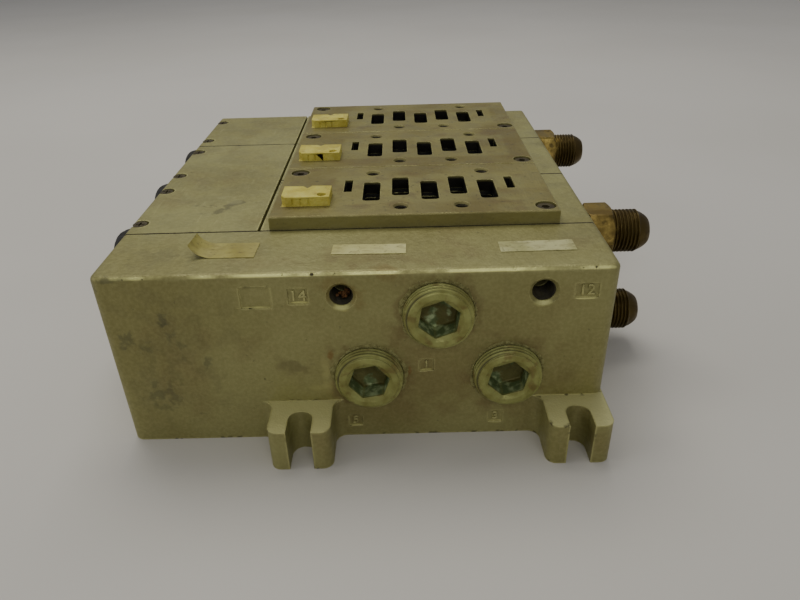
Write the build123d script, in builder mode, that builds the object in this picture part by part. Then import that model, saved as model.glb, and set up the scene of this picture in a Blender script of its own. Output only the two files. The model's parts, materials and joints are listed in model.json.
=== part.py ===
"""Three-station plug-in valve manifold: stacked station bases between two end plates.

Millimetres. +X runs from the wiring side to the fittings side, +Y from the front end plate to
the rear end plate, +Z up. The origin is the centre of the stack's underside.
"""
from build123d import *
import os

os.makedirs("parts", exist_ok=True)

# ---- stack -------------------------------------------------------------------------------
body_width = 189.0
body_height = 75.0
front_plate_depth = 37.0
station_pitch = 57.0
station_count = 3
rear_plate_depth = 12.0
rear_plate_height = 71.0
edge_radius = 2.2
corner_radius = 4.5
seam_chamfer = 0.4
stack_depth = front_plate_depth + station_count * station_pitch + rear_plate_depth

left_face = -body_width / 2
right_face = body_width / 2
front_face = -stack_depth / 2
stations_front = front_face + front_plate_depth
stations_rear = stations_front + station_count * station_pitch
rear_face = stack_depth / 2
stations = range(1, station_count + 1)

# ---- valve pads --------------------------------------------------------------------------
pad_left = -35.6
pad_right = 80.0
pad_height = 5.6
pad_gap = 0.4
pad_depth = station_pitch - pad_gap
pad_top = body_height + pad_height
pad_middle_x = (pad_left + pad_right) / 2
pad_width = pad_right - pad_left

slot_pitch = 12.35
slot_row_x = 29.3
slot_width = 7.3
slot_length = 21.4
slot_stagger = 2.6
slot_corner = 1.6
pilot_slot_width = 3.5
pilot_slot_length = 14.0
pilot_slot_reach = 35.05
pilot_slot_y = 4.2
valve_screw_y = 19.8
valve_screw_hole = 5.0
valve_screw_mouth = 6.6
valve_screw_depth = 14.0
slot_xs = [slot_row_x + (index - 2) * slot_pitch for index in range(5)]
slot_ys = [-slot_stagger, slot_stagger, -slot_stagger, slot_stagger, -slot_stagger]
pilot_slot_xs = [slot_row_x - pilot_slot_reach, slot_row_x + pilot_slot_reach]
rear_screw_xs = [slot_xs[0], slot_xs[4]]
front_screw_xs = [slot_xs[1], slot_xs[3]]

pad_screw_left_x = -29.0
pad_screw_right_x = 75.1
pad_screw_y = 22.7
pad_screw_shank = 4.0
pad_screw_head = 7.0
pad_screw_head_height = 4.0
pad_screw_socket = 3.0
pad_screw_counterbore = 8.4
pad_screw_counterbore_depth = 4.6
pad_screw_length = 14.0
pad_screw_clearance = 0.25
seal_thickness = 1.5
seal_border = 3.0

# ---- galleries inside the stack ----------------------------------------------------------
supply_x = 29.8
supply_z = 57.0
exhaust_xs = [3.3, 56.2]
exhaust_z = 29.8
supply_gallery_width = 13.0
supply_gallery_bottom = 47.0
supply_gallery_top = 69.0
exhaust_gallery_width = 14.0
exhaust_gallery_bottom = 25.0
exhaust_gallery_top = 43.0
gallery_corner = 3.0
pilot_gallery_radius = 2.5
pilot_gallery_z = 66.5
pilot_slot_bottom = 66.0
exhaust_duct_front = -13.3
exhaust_duct_depth = 6.8
slot_floor = 66.0

# ---- front ports -------------------------------------------------------------------------
plug_radius = 13.2
plug_clearance = 0.05
port_depth = 20.0
plug_stand_out = 5.0
plug_length = 17.0
plug_face_radius = 11.65
plug_hex = 14.0
plug_hex_depth = 9.0
pilot_port_xs = [-5.2, 67.6]
pilot_port_z = 65.3
pilot_port_radius = 4.3
pilot_port_depth = 12.0
pilot_port_chamfer = 1.2

# ---- shallow cast boxes on the front face: centre x, centre z, width, height -------------
mark_depth = 0.6
marks = [
    (-35.9, 65.6, 11.2, 8.8),
    (-20.65, 65.75, 7.1, 6.5),
    (82.75, 65.4, 8.5, 5.8),
    (25.25, 34.2, 5.5, 5.5),
    (-3.2, 7.6, 5.5, 5.5),
    (52.7, 8.2, 5.5, 5.5),
]

# ---- side ports and flare fittings -------------------------------------------------------
side_port_radius = 8.33
side_port_depth = 16.0
side_port_upper_z = 57.9
side_port_lower_z = 17.0
upper_passage_radius = 4.0
lower_passage_radius = 5.0
fitting_shank_length = 14.0
fitting_neck_radius = 9.2
fitting_hex = 22.2
fitting_hex_length = 12.0
fitting_thread_radius = 9.525
fitting_thread_length = 11.7
fitting_cone_length = 5.0
fitting_nose_radius = 6.2
fitting_bore_radius = 4.9
# Name, station, height and length of neck: a taper thread leaves each neck a different length.
fittings = [("upper_1", 1, side_port_upper_z, 2.9), ("lower_1", 1, side_port_lower_z, 4.2),
            ("upper_3", 3, side_port_upper_z, 1.5)]

# ---- feet --------------------------------------------------------------------------------
foot_reach = 18.6
foot_height = 18.3
foot_width = 24.0
foot_left_x = -23.3
foot_right_x = 82.3
foot_slot_width = 9.3
foot_slot_reach = 10.95
foot_corner = 4.0
foot_fillet = 4.5

# ---- wiring channel, its covers and what is in it ----------------------------------------
wall_thickness = 7.0
channel_floor = 40.0
cover_thickness = 3.0
cover_seal_thickness = 1.0
cover_right = -40.6
cover_gap = 1.2
cover_end_gap = 0.3
cover_ledge = 4.0
channel_right = cover_right - cover_ledge
block_left = cover_right + cover_gap
cover_seat_z = body_height - cover_thickness - cover_seal_thickness
cover_top_radius = 2.0
cover_screw_x = 3.6
cover_screw_y = 18.3
cover_screw_shank = 1.5
cover_screw_head = 2.9
cover_screw_head_height = 1.6
cover_screw_depth = 9.0
cover_screw_clearance = 0.2
scallop_radius = 3.6
scallop_depth = 1.8
seal_left_x = -88.6
seal_left_width = 1.2
seal_right_width = 3.0

pocket_left = -32.5
pocket_right = -11.5
pocket_floor = 42.0
pocket_side_clearance = 0.5
window_floor = 42.0
window_top = 56.0
connector_left = -32.0
connector_right = -12.0
connector_front = -17.7
connector_back = -4.7
connector_y = (connector_front + connector_back) / 2
connector_depth = connector_back - connector_front
connector_stand_out = 4.0
connector_height = 26.0
connector_notch_width = 5.0
connector_notch_depth = 2.2
connector_key_radius = 1.5
connector_key_depth = 4.0
contact_count = 5
contact_pitch = 3.2
contact_size = 0.8
board_floor = 44.0
board_thickness = 1.6
board_left = -66.0
board_post_radius = 3.0
terminal_left = -64.0
terminal_right = -50.0
terminal_height = 14.0
terminal_depth = 10.0
terminal_slot = 1.6
terminal_screw_radius = 1.4
terminal_screw_height = 2.0

# ---- cable entry caps --------------------------------------------------------------------
cap_radius = 11.0
cap_stand_out = 17.0
cap_centre_z = 53.0
cap_shank_radius = 9.0
cap_shank_clearance = 0.1
cap_shank_length = 13.0
cap_edge_radius = 4.0
cap_nut_thickness = 4.0
cap_nut_across_flats = 22.0

# ---- tie rods: place across and height ---------------------------------------------------
trunk_rod = (-65.0, 18.0)
seal_rod = (29.8, 34.0)
block_rods = [(-13.0, 34.0), seal_rod, (74.0, 38.0)]
tie_rods = [trunk_rod] + block_rods
tie_rod_radius = 3.0
tie_rod_hole = 3.2
tie_rod_grip = 15.0
tie_rod_end = 3.0
washer_radius = 6.0
washer_thickness = 1.6
tie_nut = 10.0
tie_nut_height = 5.0
gasket_left = -9.0
gasket_right = 69.0
gasket_bottom = 21.0
gasket_top = 72.5
relief_xs = [-79.0, -51.0]
relief_width = 16.0
relief_end_wall = 8.0
relief_height = 30.0

# ---- labels: centre x, distance behind the front face, width, depth ----------------------
label_thickness = 0.2
labels = [(-50.5, 24.0, 26.0, 11.0), (4.7, 18.0, 27.6, 8.0), (67.2, 17.3, 28.0, 8.5)]


def station_front(number):
    return stations_front + (number - 1) * station_pitch


def station_middle(number):
    return station_front(number) + station_pitch / 2


def wall_plane(distance):
    """A sketch plane facing the front, with sketch x along +X and sketch y along +Z."""
    return Plane(origin=(0, distance, 0), x_dir=(1, 0, 0), z_dir=(0, -1, 0))


def side_plane(distance):
    """A sketch plane facing +X, with sketch x along +Y and sketch y along +Z."""
    return Plane(origin=(distance, 0, 0), x_dir=(0, 1, 0), z_dir=(1, 0, 0))


def air_openings():
    """The supply gallery and the two exhaust galleries, for the current sketch."""
    with Locations((supply_x, (supply_gallery_bottom + supply_gallery_top) / 2)):
        RectangleRounded(supply_gallery_width, supply_gallery_top - supply_gallery_bottom, gallery_corner)
    with Locations(*[(x, (exhaust_gallery_bottom + exhaust_gallery_top) / 2) for x in exhaust_xs]):
        RectangleRounded(exhaust_gallery_width, exhaust_gallery_top - exhaust_gallery_bottom, gallery_corner)


def pilot_openings():
    """The two small pilot galleries, for the current sketch."""
    with Locations(*[(x, pilot_gallery_z) for x in pilot_slot_xs]):
        Circle(pilot_gallery_radius)


def gasket_outline(distance, depth, mode):
    """The moulded seal's outline between two blocks, or the groove that holds it."""
    with BuildSketch(wall_plane(distance)) as outline:
        with Locations(((gasket_left + gasket_right) / 2, (gasket_bottom + gasket_top) / 2)):
            RectangleRounded(gasket_right - gasket_left, gasket_top - gasket_bottom, gallery_corner)
    extrude(outline.sketch, amount=depth, mode=mode)


def cut_feet_slots(face, outward):
    """The open slots for the mounting bolts, through the feet outside one end face."""
    slot_y = face + outward * foot_slot_reach
    tip_y = face + outward * (foot_reach + 1)
    with BuildSketch(Plane.XY) as slots:
        with Locations((foot_left_x, slot_y), (foot_right_x, slot_y)):
            Circle(foot_slot_width / 2)
        with Locations((foot_left_x, (slot_y + tip_y) / 2), (foot_right_x, (slot_y + tip_y) / 2)):
            Rectangle(foot_slot_width, abs(tip_y - slot_y))
    extrude(slots.sketch, amount=foot_height, mode=Mode.SUBTRACT)


def add_feet(face, outward):
    """Two feet standing out from an end face, each with rounded outer corners."""
    right_foot_left = foot_right_x - foot_width / 2
    spans = [(foot_left_x - foot_width / 2, foot_left_x + foot_width / 2), (right_foot_left, right_face)]
    for left, right in spans:
        with BuildSketch(Plane.XY) as foot:
            with Locations(((left + right) / 2, face + outward * foot_reach / 2)):
                Rectangle(right - left, foot_reach)
        extrude(foot.sketch, amount=foot_height)


def foot_corners(part, face, outward):
    """The vertical edges at the outer end of each foot."""
    edges = part.edges().filter_by(Axis.Z)
    tip = face + outward * foot_reach
    return [edge for edge in edges if abs(edge.center().Y - tip) < 0.1]


def foot_roots(part, face):
    """The vertical edges where the feet's sides meet the end face."""
    sides = [foot_left_x - foot_width / 2, foot_left_x + foot_width / 2, foot_right_x - foot_width / 2]
    inside = [edge for edge in part.edges().filter_by(Axis.Z) if abs(edge.center().Y - face) < 0.1]
    return [edge for edge in inside if min(abs(edge.center().X - side) for side in sides) < 0.1]


def seam_edges_of(part):
    """The upper and side edges of a block's front and rear faces."""
    front_and_rear = [part.faces().sort_by(Axis.Y)[0], part.faces().sort_by(Axis.Y)[-1]]
    edges = [edge for face in front_and_rear for edge in face.edges()]
    return [edge for edge in edges if edge.center().Z > 1 and edge.center().X > block_left + 1]


def plate_corners(part, face):
    """The plate's own vertical corners on its outer face."""
    edges = part.edges().filter_by(Axis.Z)
    outer = [edge for edge in edges if abs(edge.center().Y - face) < 0.1]
    return [edge for edge in outer if abs(abs(edge.center().X) - right_face) < 0.1]


# ---- front end plate ---------------------------------------------------------------------
with BuildPart() as front_end_plate:
    with BuildSketch(Plane.XY):
        with Locations((0, front_face + front_plate_depth / 2)):
            Rectangle(body_width, front_plate_depth)
    extrude(amount=body_height)
    add_feet(front_face, -1)
    fillet(plate_corners(front_end_plate, front_face), corner_radius)
    top_face = front_end_plate.faces().sort_by(Axis.Z)[-1]
    top_edges = [edge for edge in top_face.edges()
                 if abs(edge.center().Y - (front_face + front_plate_depth)) > 0.1]
    fillet(top_edges, edge_radius)
    seam_edges = [edge for edge in front_end_plate.faces().sort_by(Axis.Y)[-1].edges()
                  if edge.center().Z > 1]
    chamfer(seam_edges, seam_chamfer)
    fillet(foot_corners(front_end_plate, front_face, -1), foot_corner)
    fillet(foot_roots(front_end_plate, front_face), foot_fillet)
    cut_feet_slots(front_face, -1)
    with BuildSketch(wall_plane(front_face)):
        with Locations((supply_x, supply_z), *[(x, exhaust_z) for x in exhaust_xs]):
            Circle(plug_radius + plug_clearance)
    extrude(amount=-port_depth, mode=Mode.SUBTRACT)
    with BuildSketch(wall_plane(front_face + front_plate_depth)):
        air_openings()
    extrude(amount=front_plate_depth - port_depth + 1, mode=Mode.SUBTRACT)
    with BuildSketch(wall_plane(front_face + front_plate_depth)):
        pilot_openings()
    extrude(amount=front_plate_depth - pilot_port_depth + 1, mode=Mode.SUBTRACT)
    with BuildSketch(wall_plane(front_face)):
        with Locations(*[(x, pilot_port_z) for x in pilot_port_xs]):
            Circle(pilot_port_radius)
    extrude(amount=-pilot_port_depth, mode=Mode.SUBTRACT)
    pilot_mouths = [edge for edge in front_end_plate.edges().filter_by(GeomType.CIRCLE)
                    if abs(edge.radius - pilot_port_radius) < 0.01 and abs(edge.center().Y - front_face) < 0.1]
    chamfer(pilot_mouths, pilot_port_chamfer)
    with BuildSketch(wall_plane(front_face)):
        for x, z, width, height in marks:
            with Locations((x, z)):
                Rectangle(width, height)
    extrude(amount=-mark_depth, mode=Mode.SUBTRACT)
    with BuildSketch(wall_plane(front_face + front_plate_depth)):
        with Locations(*tie_rods):
            Circle(tie_rod_radius)
    extrude(amount=tie_rod_grip, mode=Mode.SUBTRACT)
    gasket_outline(front_face + front_plate_depth, seal_thickness, Mode.SUBTRACT)
front_end_plate.part.label = "front_end_plate"
export_step(front_end_plate.part, "parts/front_end_plate.step")


# ---- station bases -----------------------------------------------------------------------
for number in stations:
    front_y = station_front(number)
    rear_y = front_y + station_pitch
    middle_y = station_middle(number)
    with BuildPart() as station_base:
        with BuildSketch(Plane.XY):
            with Locations(((block_left + right_face) / 2, middle_y)):
                Rectangle(right_face - block_left, station_pitch)
        extrude(amount=body_height)
        long_edges = station_base.edges().filter_by(Axis.Y).group_by(Axis.X)[-1]
        fillet(long_edges.sort_by(Axis.Z)[-1], edge_radius)
        chamfer(seam_edges_of(station_base), seam_chamfer)
        # Three air galleries, two pilot galleries and the seal groove in the rear face.
        with BuildSketch(wall_plane(rear_y)):
            air_openings()
            pilot_openings()
        extrude(amount=station_pitch, mode=Mode.SUBTRACT)
        gasket_outline(rear_y, seal_thickness, Mode.SUBTRACT)
        with BuildSketch(wall_plane(rear_y)):
            with Locations(*block_rods):
                Circle(tie_rod_hole)
        extrude(amount=station_pitch, mode=Mode.SUBTRACT)
        # Groove for the seal under the valve pad.
        with BuildSketch(Plane.XY.offset(body_height - seal_thickness)):
            with Locations((slot_row_x, middle_y)):
                RectangleRounded(2 * pilot_slot_reach + 2 * seal_border + pilot_slot_width,
                                 slot_length + 2 * slot_stagger + 2 * seal_border, gallery_corner)
        extrude(amount=seal_thickness, mode=Mode.SUBTRACT)
        # Slots under the pad, and the ducts that join them to the galleries and side ports.
        with BuildSketch(Plane.XY.offset(slot_floor)):
            with Locations(*[(x, middle_y + y) for x, y in zip(slot_xs, slot_ys)]):
                RectangleRounded(slot_width, slot_length, slot_corner)
        extrude(amount=body_height - slot_floor, mode=Mode.SUBTRACT)
        with BuildSketch(Plane.XY.offset(pilot_slot_bottom)):
            with Locations(*[(x, middle_y + pilot_slot_y) for x in pilot_slot_xs]):
                Rectangle(pilot_slot_width, pilot_slot_length)
        extrude(amount=body_height - pilot_slot_bottom, mode=Mode.SUBTRACT)
        with BuildSketch(Plane.XY.offset(exhaust_gallery_top - gallery_corner)):
            with Locations(*[(x, middle_y + exhaust_duct_front + exhaust_duct_depth / 2)
                             for x in (slot_xs[0], slot_xs[4])]):
                Rectangle(slot_width, exhaust_duct_depth)
        extrude(amount=slot_floor - exhaust_gallery_top + gallery_corner, mode=Mode.SUBTRACT)
        for x, duct_floor in ((slot_xs[1], side_port_lower_z), (slot_xs[3], side_port_upper_z)):
            with BuildSketch(Plane.XY.offset(duct_floor)):
                with Locations((x, middle_y + slot_stagger)):
                    RectangleRounded(slot_width, slot_length, slot_corner)
            extrude(amount=slot_floor - duct_floor, mode=Mode.SUBTRACT)
        # Tapped side ports on the right and the passages behind them.
        with BuildSketch(side_plane(right_face)):
            with Locations((middle_y, side_port_upper_z), (middle_y, side_port_lower_z)):
                Circle(side_port_radius)
        extrude(amount=-side_port_depth, mode=Mode.SUBTRACT)
        for radius, height, x in ((upper_passage_radius, side_port_upper_z, slot_xs[3]),
                                  (lower_passage_radius, side_port_lower_z, slot_xs[1])):
            with BuildSketch(side_plane(right_face)):
                with Locations((middle_y, height)):
                    Circle(radius)
            extrude(amount=x - right_face, mode=Mode.SUBTRACT)
        # Tapped holes for the valve screws and the pad screws.
        with BuildSketch(Plane.XY.offset(body_height)):
            with Locations(*[(x, middle_y + valve_screw_y) for x in rear_screw_xs],
                           *[(x, middle_y - valve_screw_y) for x in front_screw_xs]):
                Circle(valve_screw_hole / 2)
        extrude(amount=pad_height - valve_screw_depth, mode=Mode.SUBTRACT)
        with BuildSketch(Plane.XY.offset(body_height)):
            with Locations((pad_screw_left_x, middle_y + pad_screw_y),
                           (pad_screw_right_x, middle_y - pad_screw_y)):
                Circle(pad_screw_shank / 2)
        extrude(amount=-pad_screw_length, mode=Mode.SUBTRACT)
        # Pocket under the connector, with a window in the left wall.
        with BuildSketch(Plane.XY.offset(pocket_floor)):
            with Locations(((pocket_left + pocket_right) / 2, middle_y + connector_y)):
                Rectangle(pocket_right - pocket_left, connector_depth + 2 * pocket_side_clearance)
        extrude(amount=body_height - pocket_floor, mode=Mode.SUBTRACT)
        with BuildSketch(side_plane(block_left)):
            with Locations((middle_y + connector_y, (window_floor + window_top) / 2)):
                Rectangle(connector_depth + 2 * pocket_side_clearance, window_top - window_floor)
        extrude(amount=pocket_left - block_left + 1, mode=Mode.SUBTRACT)
    station_base.part.label = f"station_base_{number}"
    export_step(station_base.part, f"parts/station_base_{number}.step")


# ---- wiring trunks on the left of the station bases --------------------------------------
for number in stations:
    middle_y = station_middle(number)
    with BuildPart() as wiring_trunk:
        with BuildSketch(Plane.XY):
            with Locations(((left_face + block_left) / 2, middle_y)):
                Rectangle(block_left - left_face, station_pitch)
        extrude(amount=cover_seat_z)
        outer_edges = [edge for edge in wiring_trunk.edges().filter_by(Axis.Z)
                       if edge.center().X < left_face + 1]
        chamfer(outer_edges, seam_chamfer)
        # Open channel, then the window that leads to the connector's pocket.
        with BuildSketch(Plane.XY.offset(channel_floor)):
            with Locations(((left_face + wall_thickness + channel_right) / 2, middle_y)):
                Rectangle(channel_right - left_face - wall_thickness, station_pitch)
        extrude(amount=cover_seat_z - channel_floor, mode=Mode.SUBTRACT)
        with BuildSketch(side_plane(channel_right)):
            with Locations((middle_y + connector_y, (window_floor + window_top) / 2)):
                Rectangle(connector_depth + 2 * pocket_side_clearance, window_top - window_floor)
        extrude(amount=block_left - channel_right, mode=Mode.SUBTRACT)
        # Hole for the cable entry cap, and holes for the cover screws.
        with BuildSketch(side_plane(left_face)):
            with Locations((middle_y, cap_centre_z)):
                Circle(cap_shank_radius + cap_shank_clearance)
        extrude(amount=wall_thickness, mode=Mode.SUBTRACT)
        with BuildSketch(Plane.XY.offset(cover_seat_z)):
            with Locations((left_face + cover_screw_x, middle_y - cover_screw_y),
                           (left_face + cover_screw_x, middle_y + cover_screw_y)):
                Circle(cover_screw_shank + cover_screw_clearance)
        extrude(amount=-cover_screw_depth, mode=Mode.SUBTRACT)
        # Post under the outer end of the circuit board.
        with BuildSketch(Plane.XY.offset(channel_floor)):
            with Locations((board_left + board_post_radius, middle_y + connector_y)):
                Circle(board_post_radius)
        extrude(amount=board_floor - channel_floor)
        # Casting reliefs in the underside, either side of the tie rod.
        with BuildSketch(Plane.XY):
            with Locations(*[(x, middle_y) for x in relief_xs]):
                Rectangle(relief_width, station_pitch - 2 * relief_end_wall)
        extrude(amount=relief_height, mode=Mode.SUBTRACT)
        with BuildSketch(wall_plane(middle_y + station_pitch / 2)):
            with Locations(trunk_rod):
                Circle(tie_rod_hole)
        extrude(amount=station_pitch, mode=Mode.SUBTRACT)
    wiring_trunk.part.label = f"wiring_trunk_{number}"
    export_step(wiring_trunk.part, f"parts/wiring_trunk_{number}.step")


# ---- rear end plate ----------------------------------------------------------------------
with BuildPart() as rear_end_plate:
    with BuildSketch(Plane.XY):
        with Locations((0, rear_face - rear_plate_depth / 2)):
            Rectangle(body_width, rear_plate_depth)
    extrude(amount=rear_plate_height)
    add_feet(rear_face, 1)
    fillet(plate_corners(rear_end_plate, rear_face), corner_radius)
    fillet(foot_corners(rear_end_plate, rear_face, 1), foot_corner)
    fillet(foot_roots(rear_end_plate, rear_face), foot_fillet)
    cut_feet_slots(rear_face, 1)
    with BuildSketch(wall_plane(rear_face)):
        with Locations(*tie_rods):
            Circle(tie_rod_hole)
    extrude(amount=rear_plate_depth, mode=Mode.SUBTRACT)
rear_end_plate.part.label = "rear_end_plate"
export_step(rear_end_plate.part, "parts/rear_end_plate.step")


# ---- seals between the blocks ------------------------------------------------------------
for index in range(station_count + 1):
    back = stations_front + index * station_pitch
    with BuildPart() as block_seal:
        gasket_outline(back, seal_thickness, Mode.ADD)
        with BuildSketch(wall_plane(back)):
            air_openings()
            pilot_openings()
            with Locations(seal_rod):
                Circle(tie_rod_hole)
        extrude(amount=seal_thickness, mode=Mode.SUBTRACT)
    block_seal.part.label = f"block_seal_{index + 1}"
    export_step(block_seal.part, f"parts/block_seal_{index + 1}.step")


# ---- tie rods, washers and nuts ----------------------------------------------------------
washer_face = rear_face + washer_thickness
nut_face = washer_face + tie_nut_height
with BuildPart() as tie_rod_set:
    with BuildSketch(wall_plane(stations_front - tie_rod_grip)):
        with Locations(*tie_rods):
            Circle(tie_rod_radius)
    extrude(amount=-(nut_face + tie_rod_end - stations_front + tie_rod_grip))
tie_rod_set.part.label = "tie_rods"
export_step(tie_rod_set.part, "parts/tie_rods.step")

with BuildPart() as tie_rod_washers:
    with BuildSketch(wall_plane(rear_face)):
        with Locations(*tie_rods):
            Circle(washer_radius)
        with Locations(*tie_rods):
            Circle(tie_rod_radius, mode=Mode.SUBTRACT)
    extrude(amount=-washer_thickness)
tie_rod_washers.part.label = "tie_rod_washers"
export_step(tie_rod_washers.part, "parts/tie_rod_washers.step")

with BuildPart() as tie_rod_nuts:
    with BuildSketch(wall_plane(washer_face)):
        with Locations(*tie_rods):
            RegularPolygon(tie_nut / 2, 6, major_radius=False)
        with Locations(*tie_rods):
            Circle(tie_rod_radius, mode=Mode.SUBTRACT)
    extrude(amount=-tie_nut_height)
tie_rod_nuts.part.label = "tie_rod_nuts"
export_step(tie_rod_nuts.part, "parts/tie_rod_nuts.step")


# ---- valve pads, their seals and their screws --------------------------------------------
for number in stations:
    middle_y = station_middle(number)
    with BuildPart() as valve_pad:
        with BuildSketch(Plane.XY.offset(body_height)):
            with Locations((pad_middle_x, middle_y)):
                Rectangle(pad_width, pad_depth)
        extrude(amount=pad_height)
        chamfer(valve_pad.faces().sort_by(Axis.Z)[-1].edges(), 0.4)
        with BuildSketch(Plane.XY.offset(body_height)):
            with Locations(*[(x, middle_y + y) for x, y in zip(slot_xs, slot_ys)]):
                RectangleRounded(slot_width, slot_length, slot_corner)
            with Locations(*[(x, middle_y + pilot_slot_y) for x in pilot_slot_xs]):
                Rectangle(pilot_slot_width, pilot_slot_length)
            with Locations(*[(x, middle_y + valve_screw_y) for x in rear_screw_xs],
                           *[(x, middle_y - valve_screw_y) for x in front_screw_xs]):
                Circle(valve_screw_hole / 2)
            with Locations((pad_screw_left_x, middle_y + pad_screw_y),
                           (pad_screw_right_x, middle_y - pad_screw_y)):
                Circle(pad_screw_shank / 2 + pad_screw_clearance)
            with Locations(((connector_left + connector_right) / 2, middle_y + connector_y)):
                Rectangle(connector_right - connector_left, connector_depth)
        extrude(amount=pad_height, mode=Mode.SUBTRACT)
        valve_mouths = [edge for edge in valve_pad.edges().filter_by(GeomType.CIRCLE)
                        if abs(edge.radius - valve_screw_hole / 2) < 0.01 and edge.center().Z > pad_top - 0.1]
        chamfer(valve_mouths, (valve_screw_mouth - valve_screw_hole) / 2)
        with BuildSketch(Plane.XY.offset(pad_top)):
            with Locations((pad_screw_left_x, middle_y + pad_screw_y),
                           (pad_screw_right_x, middle_y - pad_screw_y)):
                Circle(pad_screw_counterbore / 2)
        extrude(amount=-pad_screw_counterbore_depth, mode=Mode.SUBTRACT)
    valve_pad.part.label = f"valve_pad_{number}"
    export_step(valve_pad.part, f"parts/valve_pad_{number}.step")

    with BuildPart() as pad_seal:
        with BuildSketch(Plane.XY.offset(body_height - seal_thickness)):
            with Locations((slot_row_x, middle_y)):
                RectangleRounded(2 * pilot_slot_reach + 2 * seal_border + pilot_slot_width,
                                 slot_length + 2 * slot_stagger + 2 * seal_border, gallery_corner)
            with Locations(*[(x, middle_y + y) for x, y in zip(slot_xs, slot_ys)]):
                RectangleRounded(slot_width, slot_length, slot_corner, mode=Mode.SUBTRACT)
            with Locations(*[(x, middle_y + pilot_slot_y) for x in pilot_slot_xs]):
                Rectangle(pilot_slot_width, pilot_slot_length, mode=Mode.SUBTRACT)
        extrude(amount=seal_thickness)
    pad_seal.part.label = f"pad_seal_{number}"
    export_step(pad_seal.part, f"parts/pad_seal_{number}.step")

with BuildPart() as pad_screws:
    screw_places = [(pad_screw_left_x, station_middle(n) + pad_screw_y) for n in stations]
    screw_places += [(pad_screw_right_x, station_middle(n) - pad_screw_y) for n in stations]
    head_floor = pad_top - pad_screw_counterbore_depth
    with BuildSketch(Plane.XY.offset(head_floor)):
        with Locations(*screw_places):
            Circle(pad_screw_head / 2)
    extrude(amount=pad_screw_head_height)
    with BuildSketch(Plane.XY.offset(body_height - pad_screw_length)):
        with Locations(*screw_places):
            Circle(pad_screw_shank / 2)
    extrude(amount=head_floor - body_height + pad_screw_length)
    with BuildSketch(Plane.XY.offset(head_floor + pad_screw_head_height)):
        with Locations(*screw_places):
            RegularPolygon(pad_screw_socket / 2, 6, major_radius=False)
    extrude(amount=-pad_screw_head_height / 2, mode=Mode.SUBTRACT)
pad_screws.part.label = "pad_screws"
export_step(pad_screws.part, "parts/pad_screws.step")


# ---- plug-in connectors, contacts, boards and terminals ----------------------------------
connector_middle_x = (connector_left + connector_right) / 2
connector_top = pad_top + connector_stand_out
connector_bottom = connector_top - connector_height
board_top = board_floor + board_thickness
for number in stations:
    middle_y = station_middle(number)
    socket_y = middle_y + connector_y
    with BuildPart() as plug_in_connector:
        with BuildSketch(Plane.XY.offset(connector_bottom)):
            with Locations((connector_middle_x, socket_y)):
                Rectangle(connector_right - connector_left, connector_depth)
        extrude(amount=connector_height)
        fillet(plug_in_connector.faces().sort_by(Axis.Z)[-1].edges(), 0.6)
        # Notch in the rear top edge and the key hole at the right.
        with BuildSketch(Plane.XY.offset(connector_top)):
            with BuildLine():
                Polyline((connector_middle_x - connector_notch_width / 2, middle_y + connector_back + 1),
                         (connector_middle_x + connector_notch_width / 2, middle_y + connector_back + 1),
                         (connector_middle_x, middle_y + connector_back - connector_notch_depth),
                         close=True)
            make_face()
        extrude(amount=-connector_stand_out, mode=Mode.SUBTRACT)
        with BuildSketch(Plane.XY.offset(connector_top)):
            with Locations((connector_right - 2 * connector_key_radius, socket_y)):
                Circle(connector_key_radius)
        extrude(amount=-connector_key_depth, mode=Mode.SUBTRACT)
    plug_in_connector.part.label = f"plug_in_connector_{number}"
    export_step(plug_in_connector.part, f"parts/plug_in_connector_{number}.step")

    with BuildPart() as connector_contacts:
        with BuildSketch(Plane.XY.offset(board_top)):
            with Locations((connector_middle_x, socket_y)):
                with GridLocations(contact_pitch, contact_pitch, contact_count, 1):
                    Rectangle(contact_size, contact_size)
        extrude(amount=connector_bottom - board_top)
    connector_contacts.part.label = f"connector_contacts_{number}"
    export_step(connector_contacts.part, f"parts/connector_contacts_{number}.step")

    with BuildPart() as link_board:
        with BuildSketch(Plane.XY.offset(board_floor)):
            with Locations(((board_left + connector_right) / 2, socket_y)):
                Rectangle(connector_right - board_left, connector_depth)
        extrude(amount=board_thickness)
    link_board.part.label = f"link_board_{number}"
    export_step(link_board.part, f"parts/link_board_{number}.step")

    with BuildPart() as terminal_block:
        with BuildSketch(Plane.XY.offset(board_top)):
            with Locations(((terminal_left + terminal_right) / 2, socket_y)):
                Rectangle(terminal_right - terminal_left, terminal_depth)
        extrude(amount=terminal_height)
        # Two clamp ways, each with a wire mouth in the left face.
        with BuildSketch(side_plane(terminal_left)):
            with Locations((socket_y - terminal_depth / 4, board_top + 4), (socket_y + terminal_depth / 4, board_top + 4)):
                Circle(terminal_slot)
        extrude(amount=(terminal_right - terminal_left) / 2, mode=Mode.SUBTRACT)
    terminal_block.part.label = f"terminal_block_{number}"
    export_step(terminal_block.part, f"parts/terminal_block_{number}.step")

with BuildPart() as terminal_screws:
    block_ys = [station_middle(n) + connector_y for n in stations]
    with BuildSketch(Plane.XY.offset(board_top + terminal_height)):
        with Locations(*[((terminal_left + terminal_right) / 2, y + side * terminal_depth / 4)
                         for y in block_ys for side in (-1, 1)]):
            Circle(terminal_screw_radius)
    extrude(amount=terminal_screw_height)
terminal_screws.part.label = "terminal_screws"
export_step(terminal_screws.part, "parts/terminal_screws.step")


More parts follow.
